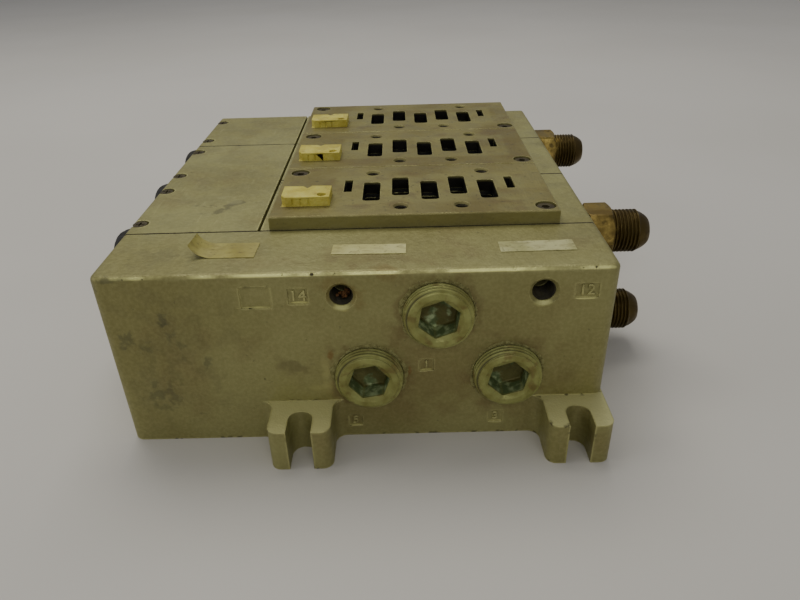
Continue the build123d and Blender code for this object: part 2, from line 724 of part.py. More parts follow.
# ---- wiring covers, their seals and screws -----------------------------------------------
covers = [("front", 1, 2), ("rear", 3, 3)]
for name, first, last in covers:
    cover_front = station_front(first) + cover_end_gap / 2
    cover_rear = station_front(last) + station_pitch - cover_end_gap / 2
    cover_middle_y = (cover_front + cover_rear) / 2
    cover_middle_x = (left_face + cover_right) / 2
    places = [(left_face + cover_screw_x, station_middle(n) + side * cover_screw_y)
              for n in range(first, last + 1) for side in (-1, 1)]
    cover_bottom = body_height - cover_thickness
    with BuildPart() as wiring_cover:
        with BuildSketch(Plane.XY.offset(cover_bottom)):
            with Locations((cover_middle_x, cover_middle_y)):
                Rectangle(cover_right - left_face, cover_rear - cover_front)
        extrude(amount=cover_thickness)
        left_top = wiring_cover.edges().filter_by(Axis.Y).group_by(Axis.X)[0].sort_by(Axis.Z)[-1]
        fillet(left_top, cover_top_radius)
        with BuildSketch(Plane.XY.offset(body_height)):
            with Locations(*places):
                Circle(scallop_radius)
        extrude(amount=-scallop_depth, mode=Mode.SUBTRACT)
        with BuildSketch(Plane.XY.offset(cover_bottom)):
            with Locations(*places):
                Circle(cover_screw_shank + cover_screw_clearance)
        extrude(amount=cover_thickness, mode=Mode.SUBTRACT)
    wiring_cover.part.label = f"wiring_cover_{name}"
    export_step(wiring_cover.part, f"parts/wiring_cover_{name}.step")

    with BuildPart() as cover_seal:
        with BuildSketch(Plane.XY.offset(cover_seat_z)):
            with Locations((seal_left_x, cover_middle_y)):
                Rectangle(seal_left_width, cover_rear - cover_front)
            with Locations((channel_right + seal_right_width / 2, cover_middle_y)):
                Rectangle(seal_right_width, cover_rear - cover_front)
        extrude(amount=cover_seal_thickness)
    cover_seal.part.label = f"cover_seal_{name}"
    export_step(cover_seal.part, f"parts/cover_seal_{name}.step")

    with BuildPart() as cover_screws:
        with BuildSketch(Plane.XY.offset(body_height - scallop_depth)):
            with Locations(*places):
                Circle(cover_screw_head)
        extrude(amount=cover_screw_head_height)
        with BuildSketch(Plane.XY.offset(cover_seat_z - cover_screw_depth + 1)):
            with Locations(*places):
                Circle(cover_screw_shank)
        extrude(amount=body_height - scallop_depth - cover_seat_z + cover_screw_depth - 1)
        with BuildSketch(Plane.XY.offset(body_height - scallop_depth + cover_screw_head_height)):
            with Locations(*places):
                Rectangle(0.7, 3.6)
                Rectangle(3.6, 0.7)
        extrude(amount=-cover_screw_head_height / 2, mode=Mode.SUBTRACT)
    cover_screws.part.label = f"cover_screws_{name}"
    export_step(cover_screws.part, f"parts/cover_screws_{name}.step")


# ---- cable entry caps and their nuts -----------------------------------------------------
for number in stations:
    middle_y = station_middle(number)
    with BuildPart() as entry_cap:
        with BuildSketch(side_plane(left_face)):
            with Locations((middle_y, cap_centre_z)):
                Circle(cap_radius)
        extrude(amount=-cap_stand_out)
        outer_rim = entry_cap.edges().filter_by(GeomType.CIRCLE).sort_by(Axis.X)[0]
        fillet(outer_rim, cap_edge_radius)
        with BuildSketch(side_plane(left_face)):
            with Locations((middle_y, cap_centre_z)):
                Circle(cap_shank_radius)
        extrude(amount=cap_shank_length)
    entry_cap.part.label = f"cable_entry_cap_{number}"
    export_step(entry_cap.part, f"parts/cable_entry_cap_{number}.step")

    with BuildPart() as entry_nut:
        with BuildSketch(side_plane(left_face + wall_thickness)):
            with Locations((middle_y, cap_centre_z)):
                RegularPolygon(cap_nut_across_flats / 2, 6, major_radius=False)
                Circle(cap_shank_radius, mode=Mode.SUBTRACT)
        extrude(amount=cap_nut_thickness)
    entry_nut.part.label = f"cable_entry_nut_{number}"
    export_step(entry_nut.part, f"parts/cable_entry_nut_{number}.step")


# ---- port plugs --------------------------------------------------------------------------
plug_places = {"1": (supply_x, supply_z), "5": (exhaust_xs[0], exhaust_z), "3": (exhaust_xs[1], exhaust_z)}
for port, (x, z) in plug_places.items():
    with BuildPart() as port_plug:
        with BuildSketch(wall_plane(front_face - plug_stand_out)):
            with Locations((x, z)):
                Circle(plug_radius)
        extrude(amount=-plug_stand_out - plug_length)
        rims = port_plug.edges().filter_by(GeomType.CIRCLE).sort_by(Axis.Y)
        chamfer([rims[0], rims[-1]], plug_radius - plug_face_radius)
        with BuildSketch(wall_plane(front_face - plug_stand_out)):
            with Locations((x, z)):
                RegularPolygon(plug_hex / 2, 6, major_radius=False)
        extrude(amount=-plug_hex_depth, mode=Mode.SUBTRACT)
    port_plug.part.label = f"port_plug_{port}"
    export_step(port_plug.part, f"parts/port_plug_{port}.step")


# ---- flare fittings ----------------------------------------------------------------------
for name, number, height, neck_length in fittings:
    middle_y = station_middle(number)
    hex_start = right_face + neck_length
    thread_start = hex_start + fitting_hex_length
    cone_start = thread_start + fitting_thread_length
    nose = cone_start + fitting_cone_length
    with BuildPart() as flare_fitting:
        with BuildSketch(side_plane(right_face - fitting_shank_length)):
            with Locations((middle_y, height)):
                Circle(side_port_radius)
        extrude(amount=fitting_shank_length)
        with BuildSketch(side_plane(right_face)):
            with Locations((middle_y, height)):
                Circle(fitting_neck_radius)
        extrude(amount=neck_length)
        with BuildSketch(side_plane(hex_start)):
            with Locations((middle_y, height)):
                RegularPolygon(fitting_hex / 2, 6, major_radius=False)
        extrude(amount=fitting_hex_length)
        with BuildSketch(side_plane(thread_start)):
            with Locations((middle_y, height)):
                Circle(fitting_thread_radius)
        extrude(amount=fitting_thread_length)
        with BuildSketch(side_plane(cone_start)):
            with Locations((middle_y, height)):
                Circle(fitting_thread_radius - 0.8)
        with BuildSketch(side_plane(nose)):
            with Locations((middle_y, height)):
                Circle(fitting_nose_radius)
        loft()
        with BuildSketch(side_plane(nose)):
            with Locations((middle_y, height)):
                Circle(fitting_bore_radius)
        extrude(amount=-(nose - right_face + fitting_shank_length), mode=Mode.SUBTRACT)
    flare_fitting.part.label = f"flare_fitting_{name}"
    export_step(flare_fitting.part, f"parts/flare_fitting_{name}.step")


# ---- blank labels ------------------------------------------------------------------------
for index, (x, back, width, depth) in enumerate(labels, 1):
    with BuildPart() as blank_label:
        with BuildSketch(Plane.XY.offset(body_height)):
            with Locations((x, front_face + back)):
                Rectangle(width, depth)
        extrude(amount=label_thickness)
    blank_label.part.label = f"blank_label_{index}"
    export_step(blank_label.part, f"parts/blank_label_{index}.step")
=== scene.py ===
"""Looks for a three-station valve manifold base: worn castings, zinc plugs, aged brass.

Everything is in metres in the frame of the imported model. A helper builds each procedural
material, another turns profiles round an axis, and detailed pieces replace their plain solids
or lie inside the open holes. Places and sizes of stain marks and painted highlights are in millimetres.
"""
import bpy
import bmesh
import json
import math
import random
from mathutils import Matrix, Vector, noise


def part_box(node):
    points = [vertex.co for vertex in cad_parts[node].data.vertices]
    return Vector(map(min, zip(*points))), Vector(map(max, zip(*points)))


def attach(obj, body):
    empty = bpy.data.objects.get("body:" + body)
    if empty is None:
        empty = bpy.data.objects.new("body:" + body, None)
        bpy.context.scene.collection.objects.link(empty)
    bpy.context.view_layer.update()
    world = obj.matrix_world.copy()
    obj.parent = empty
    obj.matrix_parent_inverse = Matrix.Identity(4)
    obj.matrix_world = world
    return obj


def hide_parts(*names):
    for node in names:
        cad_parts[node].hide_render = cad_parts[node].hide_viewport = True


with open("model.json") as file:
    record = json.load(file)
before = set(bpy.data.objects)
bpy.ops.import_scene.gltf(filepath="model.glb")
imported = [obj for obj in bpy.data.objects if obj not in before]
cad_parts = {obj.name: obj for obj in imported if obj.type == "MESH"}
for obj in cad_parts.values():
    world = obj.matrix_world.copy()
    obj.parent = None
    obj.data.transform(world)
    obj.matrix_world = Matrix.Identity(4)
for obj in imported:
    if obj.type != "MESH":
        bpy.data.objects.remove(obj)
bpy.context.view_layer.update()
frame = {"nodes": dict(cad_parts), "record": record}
random.seed(11)

MM = 0.001
STATIONS = (1, 2, 3)
FRONT_FACE_Y = -0.110
SLOT_ROW_X = 0.0293
FRONT_SEAM = -73
COVER_SEAM = 41
STATION_SEAMS = (FRONT_SEAM, -16, COVER_SEAM, 98)
PLUG_TURNS = {"port_plug_1": 0.35, "port_plug_5": 0.18, "port_plug_3": 0.3}


def middle(node):
    low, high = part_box(node)
    return Vector([(a + b) / 2 for a, b in zip(low, high)])


# ---- procedural materials ----------------------------------------------------------------
class Look:
    """One node material, with helpers that return sockets."""

    def __init__(self, name, roughness=0.5, metallic=0.0, specular=0.5):
        self.material = bpy.data.materials.new(name)
        self.material.use_nodes = True
        self.nodes = self.material.node_tree.nodes
        self.links = self.material.node_tree.links
        self.nodes.clear()
        output = self.nodes.new("ShaderNodeOutputMaterial")
        self.shader = self.nodes.new("ShaderNodeBsdfPrincipled")
        self.shader.inputs["Roughness"].default_value = roughness
        self.shader.inputs["Metallic"].default_value = metallic
        self.shader.inputs["Specular IOR Level"].default_value = specular
        self.links.new(self.shader.outputs[0], output.inputs["Surface"])
        self.place = self.nodes.new("ShaderNodeTexCoord").outputs["Object"]

    def set(self, socket, source):
        """Puts a socket, a number or a colour into a node's input."""
        if hasattr(source, "is_linked"):
            self.links.new(source, socket)
        else:
            socket.default_value = source

    def math(self, operation, a, b=0.0):
        node = self.nodes.new("ShaderNodeMath")
        node.operation = operation
        self.set(node.inputs[0], a)
        self.set(node.inputs[1], b)
        return node.outputs[0]

    def times(self, a, b):
        return self.math("MULTIPLY", a, b)

    def inverse(self, value):
        return self.math("SUBTRACT", 1.0, value)

    def away(self, index, place):
        """The distance from a plane across the X, Y or Z axis, in metres."""
        return self.math("ABSOLUTE", self.math("SUBTRACT", self.axis(index), place))

    def ramp(self, value, low, high):
        """0 at low and 1 at high, with a smooth rise between them."""
        node = self.nodes.new("ShaderNodeMapRange")
        node.interpolation_type = "SMOOTHSTEP"
        self.set(node.inputs["Value"], value)
        node.inputs["From Min"].default_value = low
        node.inputs["From Max"].default_value = high
        return node.outputs[0]

    def noise(self, scale, detail=3.0, low=0.35, high=0.65, stretch=(1, 1, 1), seed=0.0):
        """A cloudy mask from 0 to 1, with scale in cycles per metre."""
        mapping = self.nodes.new("ShaderNodeMapping")
        mapping.inputs["Scale"].default_value = stretch
        mapping.inputs["Location"].default_value = (seed, seed * 0.7, -seed)
        self.links.new(self.place, mapping.inputs["Vector"])
        node = self.nodes.new("ShaderNodeTexNoise")
        node.inputs["Scale"].default_value = scale
        node.inputs["Detail"].default_value = detail
        self.links.new(mapping.outputs[0], node.inputs["Vector"])
        return self.ramp(node.outputs["Fac"], low, high)

    def near(self, centre, size, soft=0.5, ragged=0.0, scale=150.0):
        """1 inside an ellipsoid given in millimetres, falling to 0, with a ragged edge."""
        shift = self.nodes.new("ShaderNodeVectorMath")
        shift.operation = "SUBTRACT"
        self.links.new(self.place, shift.inputs[0])
        shift.inputs[1].default_value = [c * MM for c in centre]
        spread = self.nodes.new("ShaderNodeVectorMath")
        spread.operation = "DIVIDE"
        self.links.new(shift.outputs[0], spread.inputs[0])
        spread.inputs[1].default_value = [s * MM for s in size]
        length = self.nodes.new("ShaderNodeVectorMath")
        length.operation = "LENGTH"
        self.links.new(spread.outputs[0], length.inputs[0])
        distance = length.outputs["Value"]
        if ragged:
            bumps = self.math("SUBTRACT", self.noise(scale, 4.0, 0.3, 0.7), 0.5)
            distance = self.math("ADD", distance, self.times(bumps, ragged))
        return self.inverse(self.ramp(distance, 1.0 - soft, 1.0))

    def edges(self, radius, low=0.02, high=0.2):
        """A mask of the outer edges, found with a rounded normal."""
        bevel = self.nodes.new("ShaderNodeBevel")
        bevel.samples = 6
        bevel.inputs["Radius"].default_value = radius
        geometry = self.nodes.new("ShaderNodeNewGeometry")
        dot = self.nodes.new("ShaderNodeVectorMath")
        dot.operation = "DOT_PRODUCT"
        self.links.new(bevel.outputs[0], dot.inputs[0])
        self.links.new(geometry.outputs["Normal"], dot.inputs[1])
        return self.ramp(self.inverse(dot.outputs["Value"]), low, high)

    def axis(self, index):
        """The X, Y or Z place, in metres."""
        node = self.nodes.new("ShaderNodeSeparateXYZ")
        self.links.new(self.place, node.inputs[0])
        return node.outputs[index]

    def worked(self, name):
        """A number stored on the mesh's points."""
        node = self.nodes.new("ShaderNodeAttribute")
        node.attribute_name = name
        return node.outputs["Fac"]

    def upward(self):
        """1 on faces that look up."""
        geometry = self.nodes.new("ShaderNodeNewGeometry")
        node = self.nodes.new("ShaderNodeSeparateXYZ")
        self.links.new(geometry.outputs["Normal"], node.inputs[0])
        return self.ramp(node.outputs[2], 0.5, 0.95)

    def mix(self, factor, a, b):
        node = self.nodes.new("ShaderNodeMix")
        node.data_type = "RGBA"
        self.set(node.inputs["Factor"], factor)
        self.set(node.inputs[6], a if hasattr(a, "is_linked") else (*a, 1))
        self.set(node.inputs[7], b if hasattr(b, "is_linked") else (*b, 1))
        return node.outputs[2]

    def blend(self, factor, a, b):
        """A number that goes from a to b."""
        return self.math("ADD", a, self.times(factor, b - a))

    def finish(self, colour, roughness=None, metallic=None, bumps=(), bevel=0.0):
        """Joins colour, roughness and metallic, and stacks (height, distance) bumps."""
        self.set(self.shader.inputs["Base Color"], colour)
        if roughness is not None:
            self.set(self.shader.inputs["Roughness"], roughness)
        if metallic is not None:
            self.set(self.shader.inputs["Metallic"], metallic)
        normal = None
        if bevel:
            node = self.nodes.new("ShaderNodeBevel")
            node.samples = 6
            node.inputs["Radius"].default_value = bevel
            normal = node.outputs[0]
        for height, distance in bumps:
            node = self.nodes.new("ShaderNodeBump")
            node.inputs["Strength"].default_value = 1.0
            node.inputs["Distance"].default_value = distance
            self.set(node.inputs["Height"], height)
            if normal is not None:
                self.links.new(normal, node.inputs["Normal"])
            normal = node.outputs[0]
        if normal is not None:
            self.links.new(normal, self.shader.inputs["Normal"])
        return self.material


# The base colours carry part of the yellow light that the photograph was taken in.
SILVER = (0.285, 0.272, 0.102)
SILVER_DARK = (0.225, 0.207, 0.068)
SILVER_BRIGHT = (0.58, 0.56, 0.25)
GRIME = (0.050, 0.043, 0.020)
BROWN = (0.17, 0.125, 0.042)
SCUFF = (0.052, 0.055, 0.030)
# Near-black painted shade for the deep slots and passages.
INSIDE_SHADE = (0.016, 0.014, 0.009)


def casting(name, marks, seams, line=None):
    """Worn paint on cast aluminium; marks(look, colour) adds its own stain marks, and on some parts painted
    highlights and painted shade.
    """
    look = Look(name, 0.5, 0.35)
    colour = look.mix(look.noise(16, 4.0), SILVER, SILVER_DARK)
    colour = look.mix(look.times(look.noise(45, 5.0, 0.5, 0.72, seed=3), 0.35), colour, BROWN)
    colour = look.mix(look.times(look.noise(700, 2.0, 0.35, 0.7), 0.12), colour, SILVER_BRIGHT)
    specks = look.noise(380, 3.0, 0.7, 0.76, seed=5)
    colour = look.mix(look.times(specks, 0.35), colour, GRIME)
    colour = marks(look, colour)
    wear = look.times(look.edges(1.6 * MM), look.noise(160, 4.0, 0.34, 0.5, seed=9))
    colour = look.mix(wear, colour, SILVER_BRIGHT)
    chips = look.times(look.edges(3.0 * MM), look.noise(240, 3.0, 0.6, 0.66, seed=2))
    colour = look.mix(chips, colour, GRIME)
    for seam in seams:
        away = look.away(1, seam * MM)
        joint = look.inverse(look.ramp(away, 0.35 * MM, 0.75 * MM))
        joint_dirt = look.noise(40, 4.0, 0.2, 0.45, seed=15)
        colour = look.mix(look.times(joint, joint_dirt), colour, GRIME)
    # line: a painted highlight along the long top edge, partly worn paint.
    if line:
        colour, rubbed_and_highlight = rubbed_highlight_line(look, colour, *line)
        wear = look.math("MAXIMUM", wear, rubbed_and_highlight)
    rough = look.blend(look.noise(90, 4.0, seed=4), 0.44, 0.6)
    grain = [(look.noise(1500, 2.0, 0.2, 0.8), 0.00006), (look.noise(260, 3.0), 0.00007)]
    return look.finish(colour, rough, look.blend(wear, 0.35, 0.8), grain, 0.5 * MM)


def lay_stains_and_highlights(look, colour, stains_and_highlights):
    """Lays stain marks and painted highlights over a colour: centre, size in mm, softness, raggedness,
    strength, tint.
    """
    for centre, size, soft, ragged, strength, tint in stains_and_highlights:
        mask = look.near(centre, size, soft, ragged, 330.0 if tint == SCUFF else 150.0)
        colour = look.mix(look.times(mask, strength), colour, tint)
    return colour


def rubbed_highlight_line(look, colour, y, z, half):
    """Painted highlight along the rounded long top edge, partly paint worn to bright metal, with dark chips
    in it.
    """
    across = look.math("SUBTRACT", look.axis(1), y * MM)
    up = look.math("SUBTRACT", look.axis(2), z * MM)
    squares = look.math("ADD", look.times(across, across), look.times(up, up))
    line = look.inverse(look.ramp(look.math("SQRT", squares), half * 0.3 * MM, half * MM))
    rubbed_and_highlight = look.times(line, look.noise(60, 5.0, 0.32, 0.56, seed=21))
    colour = look.mix(rubbed_and_highlight, colour, (0.86, 0.85, 0.34))
    chips = look.times(line, look.noise(300, 4.0, 0.63, 0.68, seed=23))
    return look.mix(chips, colour, GRIME), rubbed_and_highlight


def front_marks(look, colour):
    stains_and_highlights = [
        ((-66, -110, 50), (22, 9, 21), 1.0, 1.8, 0.12, GRIME),
        ((-75, -110, 22), (17, 9, 15), 1.0, 1.8, 0.10, GRIME),
        ((-70.8, -110, 57.0), (1.9, 4, 4.2), 1.0, 1.5, 0.51, SCUFF),
        ((-69.6, -110, 51.5), (2.2, 4, 4.0), 1.0, 1.5, 0.41, SCUFF),
        ((-66.5, -110, 43.5), (2.2, 4, 4.6), 1.0, 1.5, 0.34, SCUFF),
        ((-86.0, -110, 49), (3.2, 4, 4.6), 1.0, 1.5, 0.44, SCUFF),
        ((-80, -110, 45.5), (5.5, 4, 2.4), 1.0, 1.5, 0.34, SCUFF),
        ((-58.0, -110, 38.5), (2.0, 4, 3.4), 1.0, 1.5, 0.37, SCUFF),
        ((-77, -110, 23), (7.5, 4, 7.0), 1.0, 1.5, 0.37, SCUFF),
        ((-64.5, -110, 13.0), (2.6, 4, 1.4), 1.0, 1.5, 0.27, SCUFF),
        ((-24, -110, 36.0), (7.5, 4, 4.0), 1.0, 1.4, 0.4, (0.11, 0.09, 0.035)),
        ((-37, -110, 29.5), (0.8, 4, 0.8), 0.7, 1.0, 0.7, GRIME),
        ((-93.2, -108, 72.0), (2.2, 4, 2.6), 1.0, 1.5, 0.54, SCUFF),
        ((-87.5, -109.4, 74.0), (5.0, 2, 1.2), 1.0, 1.5, 0.41, SCUFF),
        ((29.8, -110, 32), (60, 8, 24), 1.0, 0.7, 0.35, BROWN),
        ((10, -110, 12), (60, 8, 9), 1.0, 0.6, 0.25, BROWN),
        ((29.8, -110, 57), (17.5, 4, 17.5), 0.35, 0.5, 0.5, BROWN),
        ((3.3, -110, 29.8), (17, 4, 17), 0.35, 0.6, 0.6, BROWN),
        ((56.2, -110, 29.8), (17, 4, 17), 0.35, 0.5, 0.5, BROWN),
        ((-13.0, -110, 31), (2.6, 3, 8), 1.0, 1.5, 0.5, (0.46, 0.44, 0.17)),
        ((-16.5, -110, 24.5), (5.0, 3, 1.8), 1.0, 1.5, 0.4, (0.42, 0.40, 0.15)),
        ((-10.8, -110, 39.5), (1.4, 3, 2.0), 0.8, 1.6, 0.55, (0.21, 0.095, 0.015)),
        ((18.6, -110, 32), (1.0, 3, 2.2), 0.8, 1.6, 0.45, (0.21, 0.095, 0.015)),
        ((-5.2, -110, 65.3), (7.0, 4, 6.6), 0.7, 1.4, 0.35, (0.19, 0.12, 0.02)),
        # Painted highlights: the lit lower chamfers of the two pilot holes.
        ((-5.2, -109.3, 60.6), (4.6, 1.8, 2.0), 0.9, 0.6, 0.9, (0.60, 0.60, 0.21)),
        ((67.6, -109.3, 60.6), (4.6, 1.8, 2.0), 0.9, 0.3, 0.95, (0.66, 0.66, 0.25)),
        # Painted highlights: the lit bottom ledges of the cast boxes round the digits and the blank box.
        ((-20.6, -109.8, 63.1), (4.2, 1.5, 0.50), 0.4, 0.4, 0.8, (0.66, 0.65, 0.24)),
        ((82.8, -109.8, 62.2), (4.3, 1.5, 0.50), 0.4, 0.4, 0.9, (0.70, 0.69, 0.27)),
        ((-36.3, -109.8, 61.5), (6.4, 1.5, 0.50), 0.4, 0.5, 0.8, (0.66, 0.65, 0.24)),
        ((25.2, -109.8, 31.9), (2.5, 1.5, 0.40), 0.4, 0.4, 0.6, (0.52, 0.51, 0.18)),
        ((52.7, -109.8, 4.8), (2.6, 1.5, 0.40), 0.4, 0.4, 0.6, (0.52, 0.51, 0.18)),
        ((-3.2, -109.8, 5.1), (2.5, 1.5, 0.40), 0.4, 0.4, 0.6, (0.52, 0.51, 0.18)),
        ((10, -100, 75), (34, 9, 3), 0.9, 0.9, 0.35, BROWN),
        ((12, -107, 74.5), (13, 4, 3), 0.9, 1.4, 0.3, (0.19, 0.12, 0.02)),
        ((-75, -95, 75), (16, 10, 3), 0.9, 1.2, 0.15, GRIME),
    ]
    colour = lay_stains_and_highlights(look, colour, stains_and_highlights)
    # Painted highlight: upward-facing ledges within a millimetre of the front face, below the top edge, lit
    # from above.
    front = look.ramp(look.axis(1), -0.1088, -0.1090)
    below = look.ramp(look.axis(2), 0.0715, 0.0712)
    ledge_highlight = look.times(look.times(front, below), look.upward())
    return look.mix(look.times(ledge_highlight, 0.9), colour, (0.62, 0.60, 0.28))


def inside_shade_and_streaks(look, colour):
    """Painted shade: the passages inside a station, seen through the slots, are painted near-black over
    plain streaks.
    """
    across = look.ramp(look.away(0, SLOT_ROW_X), 0.0400, 0.0385)
    low = look.ramp(look.axis(2), 0.0760, 0.0752)
    return look.mix(look.times(across, low), plain_marks(look, colour), INSIDE_SHADE)


def plain_marks(look, colour):
    streaks = look.noise(55, 4.0, 0.52, 0.7, (1, 1, 0.25), 6)
    return look.mix(look.times(streaks, 0.3), colour, GRIME)


def cover_marks(look, colour):
    stains_and_highlights = [
        ((-64, -49, 75), (6.5, 4.2, 3), 0.9, 2.3, 0.5, GRIME),
        ((-53, -41.5, 75), (5, 2.6, 3), 0.9, 2.3, 0.45, GRIME),
        # Painted highlight: a pale sheen on the grease smudge.
        ((-58.6, -39, 75), (6, 3.6, 3), 0.9, 2.0, 0.3, (0.44, 0.43, 0.19)),
        ((-64, 22, 75), (17, 15, 4), 0.5, 0.6, 0.25, (0.22, 0.19, 0.06)),
        ((-70, 60, 75), (12, 10, 4), 0.9, 1.8, 0.2, BROWN),
    ]
    scratches = look.noise(420, 2.0, 0.68, 0.71, (1, 0.12, 1), 8)
    colour = look.mix(look.times(scratches, 0.12), colour, SILVER_BRIGHT)
    return lay_stains_and_highlights(look, colour, stains_and_highlights)


def pad_look():
    """Machined pad tops, stained brown round a lighter print of the valve's gasket."""
    look = Look("pad_stained_metal", 0.5, 0.35)
    colour = look.mix(look.noise(30, 5.0), (0.235, 0.208, 0.065), (0.165, 0.135, 0.036))
    top = look.upward()
    print_x = look.away(0, SLOT_ROW_X)
    print_mask = look.inverse(look.ramp(print_x, 0.0395, 0.0425))
    for number in STATIONS:
        centre = middle(f"valve_pad_{number}")
        away = look.away(1, centre.y)
        band = look.inverse(look.ramp(away, 0.0150, 0.0178))
        mask = look.times(look.times(band, print_mask), top)
        mask = look.times(mask, look.noise(60, 4.0, 0.25, 0.55, seed=number))
        colour = look.mix(look.times(mask, 0.4), colour, (0.280, 0.262, 0.085))
    dirt = look.noise(85, 5.0, 0.5, 0.7, seed=12)
    colour = look.mix(look.times(dirt, 0.45), colour, (0.13, 0.085, 0.03))
    colour = look.mix(look.times(look.noise(520, 3.0, 0.62, 0.7, seed=3), 0.5), colour, GRIME)
    sides = look.inverse(top)
    colour = look.mix(look.times(sides, 0.55), colour, SILVER)
    # Painted shade on the inner walls of the slots, below the pad top.
    row = look.ramp(look.away(0, SLOT_ROW_X), 0.0400, 0.0385)
    for number in STATIONS:
        away = look.away(1, middle(f"valve_pad_{number}").y)
        wall = look.times(look.times(look.ramp(away, 0.0262, 0.0250), row), sides)
        deep_shade = look.ramp(look.axis(2), 0.0806, 0.0792)
        colour = look.mix(look.times(wall, deep_shade), colour, INSIDE_SHADE)
    wear = look.times(look.edges(0.8 * MM), look.noise(200, 4.0, 0.38, 0.55, seed=1))
    colour = look.mix(look.times(wear, 0.8), colour, SILVER_BRIGHT)
    rough = look.blend(look.noise(120, 4.0), 0.42, 0.62)
    milled = look.noise(900, 1.0, 0.2, 0.8, (1, 0.08, 1))
    bumps = [(milled, 0.00003), (look.noise(300, 3.0), 0.00008)]
    return look.finish(colour, rough, look.blend(wear, 0.35, 0.75), bumps, 0.3 * MM)


def zinc_look():
    """Dull zinc plate on steel, with rust spots, painted shade in the thread grooves, and pale crust in the
    socket, darker brown towards its floor.
    """
    look = Look("plug_dull_zinc", 0.55, 0.4)
    colour = look.mix(look.noise(140, 4.0), (0.32, 0.335, 0.105), (0.23, 0.225, 0.060))
    rust = look.noise(210, 5.0, 0.52, 0.66, seed=4)
    colour = look.mix(look.times(rust, 0.5), colour, (0.15, 0.085, 0.022))
    hollow = look.ramp(look.axis(1), -0.1142, -0.1128)
    for node in PLUG_TURNS:
        centre = middle(node)
        core = look.near((centre.x / MM, -109, centre.z / MM), (8.6, 30, 8.6), 0.12)
        crust = look.mix(look.noise(330, 5.0, 0.45, 0.7, seed=7), (0.13, 0.19, 0.08), (0.50, 0.60, 0.33))
        # Darker brown towards the socket floor: brown dirt, partly painted shade.
        floor = look.ramp(look.axis(1), -0.1085, -0.1068)
        sunk_dirt_and_shade = look.times(floor, look.noise(200, 4.0, 0.35, 0.5, seed=3))
        crust = look.mix(sunk_dirt_and_shade, crust, (0.13, 0.12, 0.035))
        colour = look.mix(look.times(look.times(core, hollow), 0.9), colour, crust)
    # Painted shade in the thread grooves, darkest at the groove floor.
    groove = look.inverse(look.ramp(look.worked("groove"), 0.25, 0.8))
    colour = look.mix(look.times(groove, 0.8), colour, (0.065, 0.062, 0.025))
    wear = look.times(look.edges(0.5 * MM), look.noise(300, 3.0, 0.4, 0.55, seed=2))
    colour = look.mix(look.times(wear, 0.5), colour, (0.50, 0.50, 0.22))
    rough = look.blend(look.noise(300, 3.0), 0.4, 0.7)
    return look.finish(colour, rough, None, [(look.noise(700, 4.0, 0.2, 0.8), 0.00012)], 0.2 * MM)


def brass_look():
    look = Look("fitting_aged_brass", 0.42, 0.85)
    colour = look.mix(look.noise(90, 5.0), (0.27, 0.20, 0.052), (0.15, 0.105, 0.028))
    spots = look.times(look.noise(240, 4.0, 0.55, 0.7, seed=6), 0.6)
    colour = look.mix(spots, colour, (0.030, 0.022, 0.010))
    tarnish = look.ramp(look.axis(0), 0.1085, 0.1125)
    colour = look.mix(look.times(tarnish, 0.75), colour, (0.050, 0.033, 0.010))
    wear = look.times(look.edges(0.6 * MM), look.noise(200, 3.0, 0.4, 0.6, seed=3))
    colour = look.mix(look.times(wear, 0.3), colour, (0.33, 0.25, 0.075))
    return look.finish(colour, look.blend(look.noise(180, 4.0), 0.32, 0.6), None,
                       [(look.noise(600, 3.0, 0.2, 0.8), 0.00005)], 0.25 * MM)


def nylon_look():
    look = Look("connector_aged_nylon", 0.55, 0.0, 0.4)
    colour = look.mix(look.noise(120, 5.0), (0.64, 0.57, 0.105), (0.50, 0.42, 0.060))
    pale = look.times(look.noise(300, 4.0, 0.55, 0.75, seed=2), 0.4)
    colour = look.mix(pale, colour, (0.72, 0.67, 0.20))
    dirt = look.times(look.noise(200, 5.0, 0.58, 0.72, seed=8), 0.5)
    colour = look.mix(dirt, colour, (0.27, 0.2, 0.06))
    look.shader.inputs["Subsurface Weight"].default_value = 0.15
    look.shader.inputs["Subsurface Radius"].default_value = (0.002, 0.0015, 0.0008)
    return look.finish(colour, look.blend(look.noise(150, 3.0), 0.45, 0.7), None,
                       [(look.noise(500, 4.0, 0.2, 0.8), 0.0002)], 0.3 * MM)


def simple_look(name, light, dark, roughness, metallic=0.0, scale=200.0, bump=0.00005, worn=None):
    """Two tones of one finish, patches of dust and a worn edge."""
    look = Look(name, roughness, metallic)
    colour = look.mix(look.noise(scale, 4.0), light, dark)
    dust = look.times(look.noise(scale * 2.3, 4.0, 0.6, 0.75, seed=5), 0.4)
    colour = look.mix(dust, colour, GRIME)
    if worn:
        wear = look.times(look.edges(0.4 * MM), look.noise(scale * 1.5, 3.0, 0.4, 0.6, seed=7))
        colour = look.mix(wear, colour, worn)
    rough = look.blend(look.noise(scale * 0.8, 3.0), roughness - 0.08, roughness + 0.1)
    return look.finish(colour, rough, None, [(look.noise(scale * 4, 3.0, 0.2, 0.8), bump)], 0.2 * MM)


def label_look(name, paper, stain, seed):
    look = Look(name, 0.6, 0.0, 0.35)
    colour = look.mix(look.noise(70, 5.0, seed=seed), paper, stain)
    foxing = look.times(look.noise(260, 5.0, 0.5, 0.66, (1, 2, 1), seed), 0.3)
    colour = look.mix(foxing, colour, BROWN)
    colour = look.mix(look.times(look.noise(600, 3.0, 0.6, 0.68, seed=3), 0.35), colour, GRIME)
    return look.finish(colour, look.blend(look.noise(120, 3.0), 0.45, 0.75), None,
                       [(look.noise(350, 4.0, 0.2, 0.8), 0.00006)])


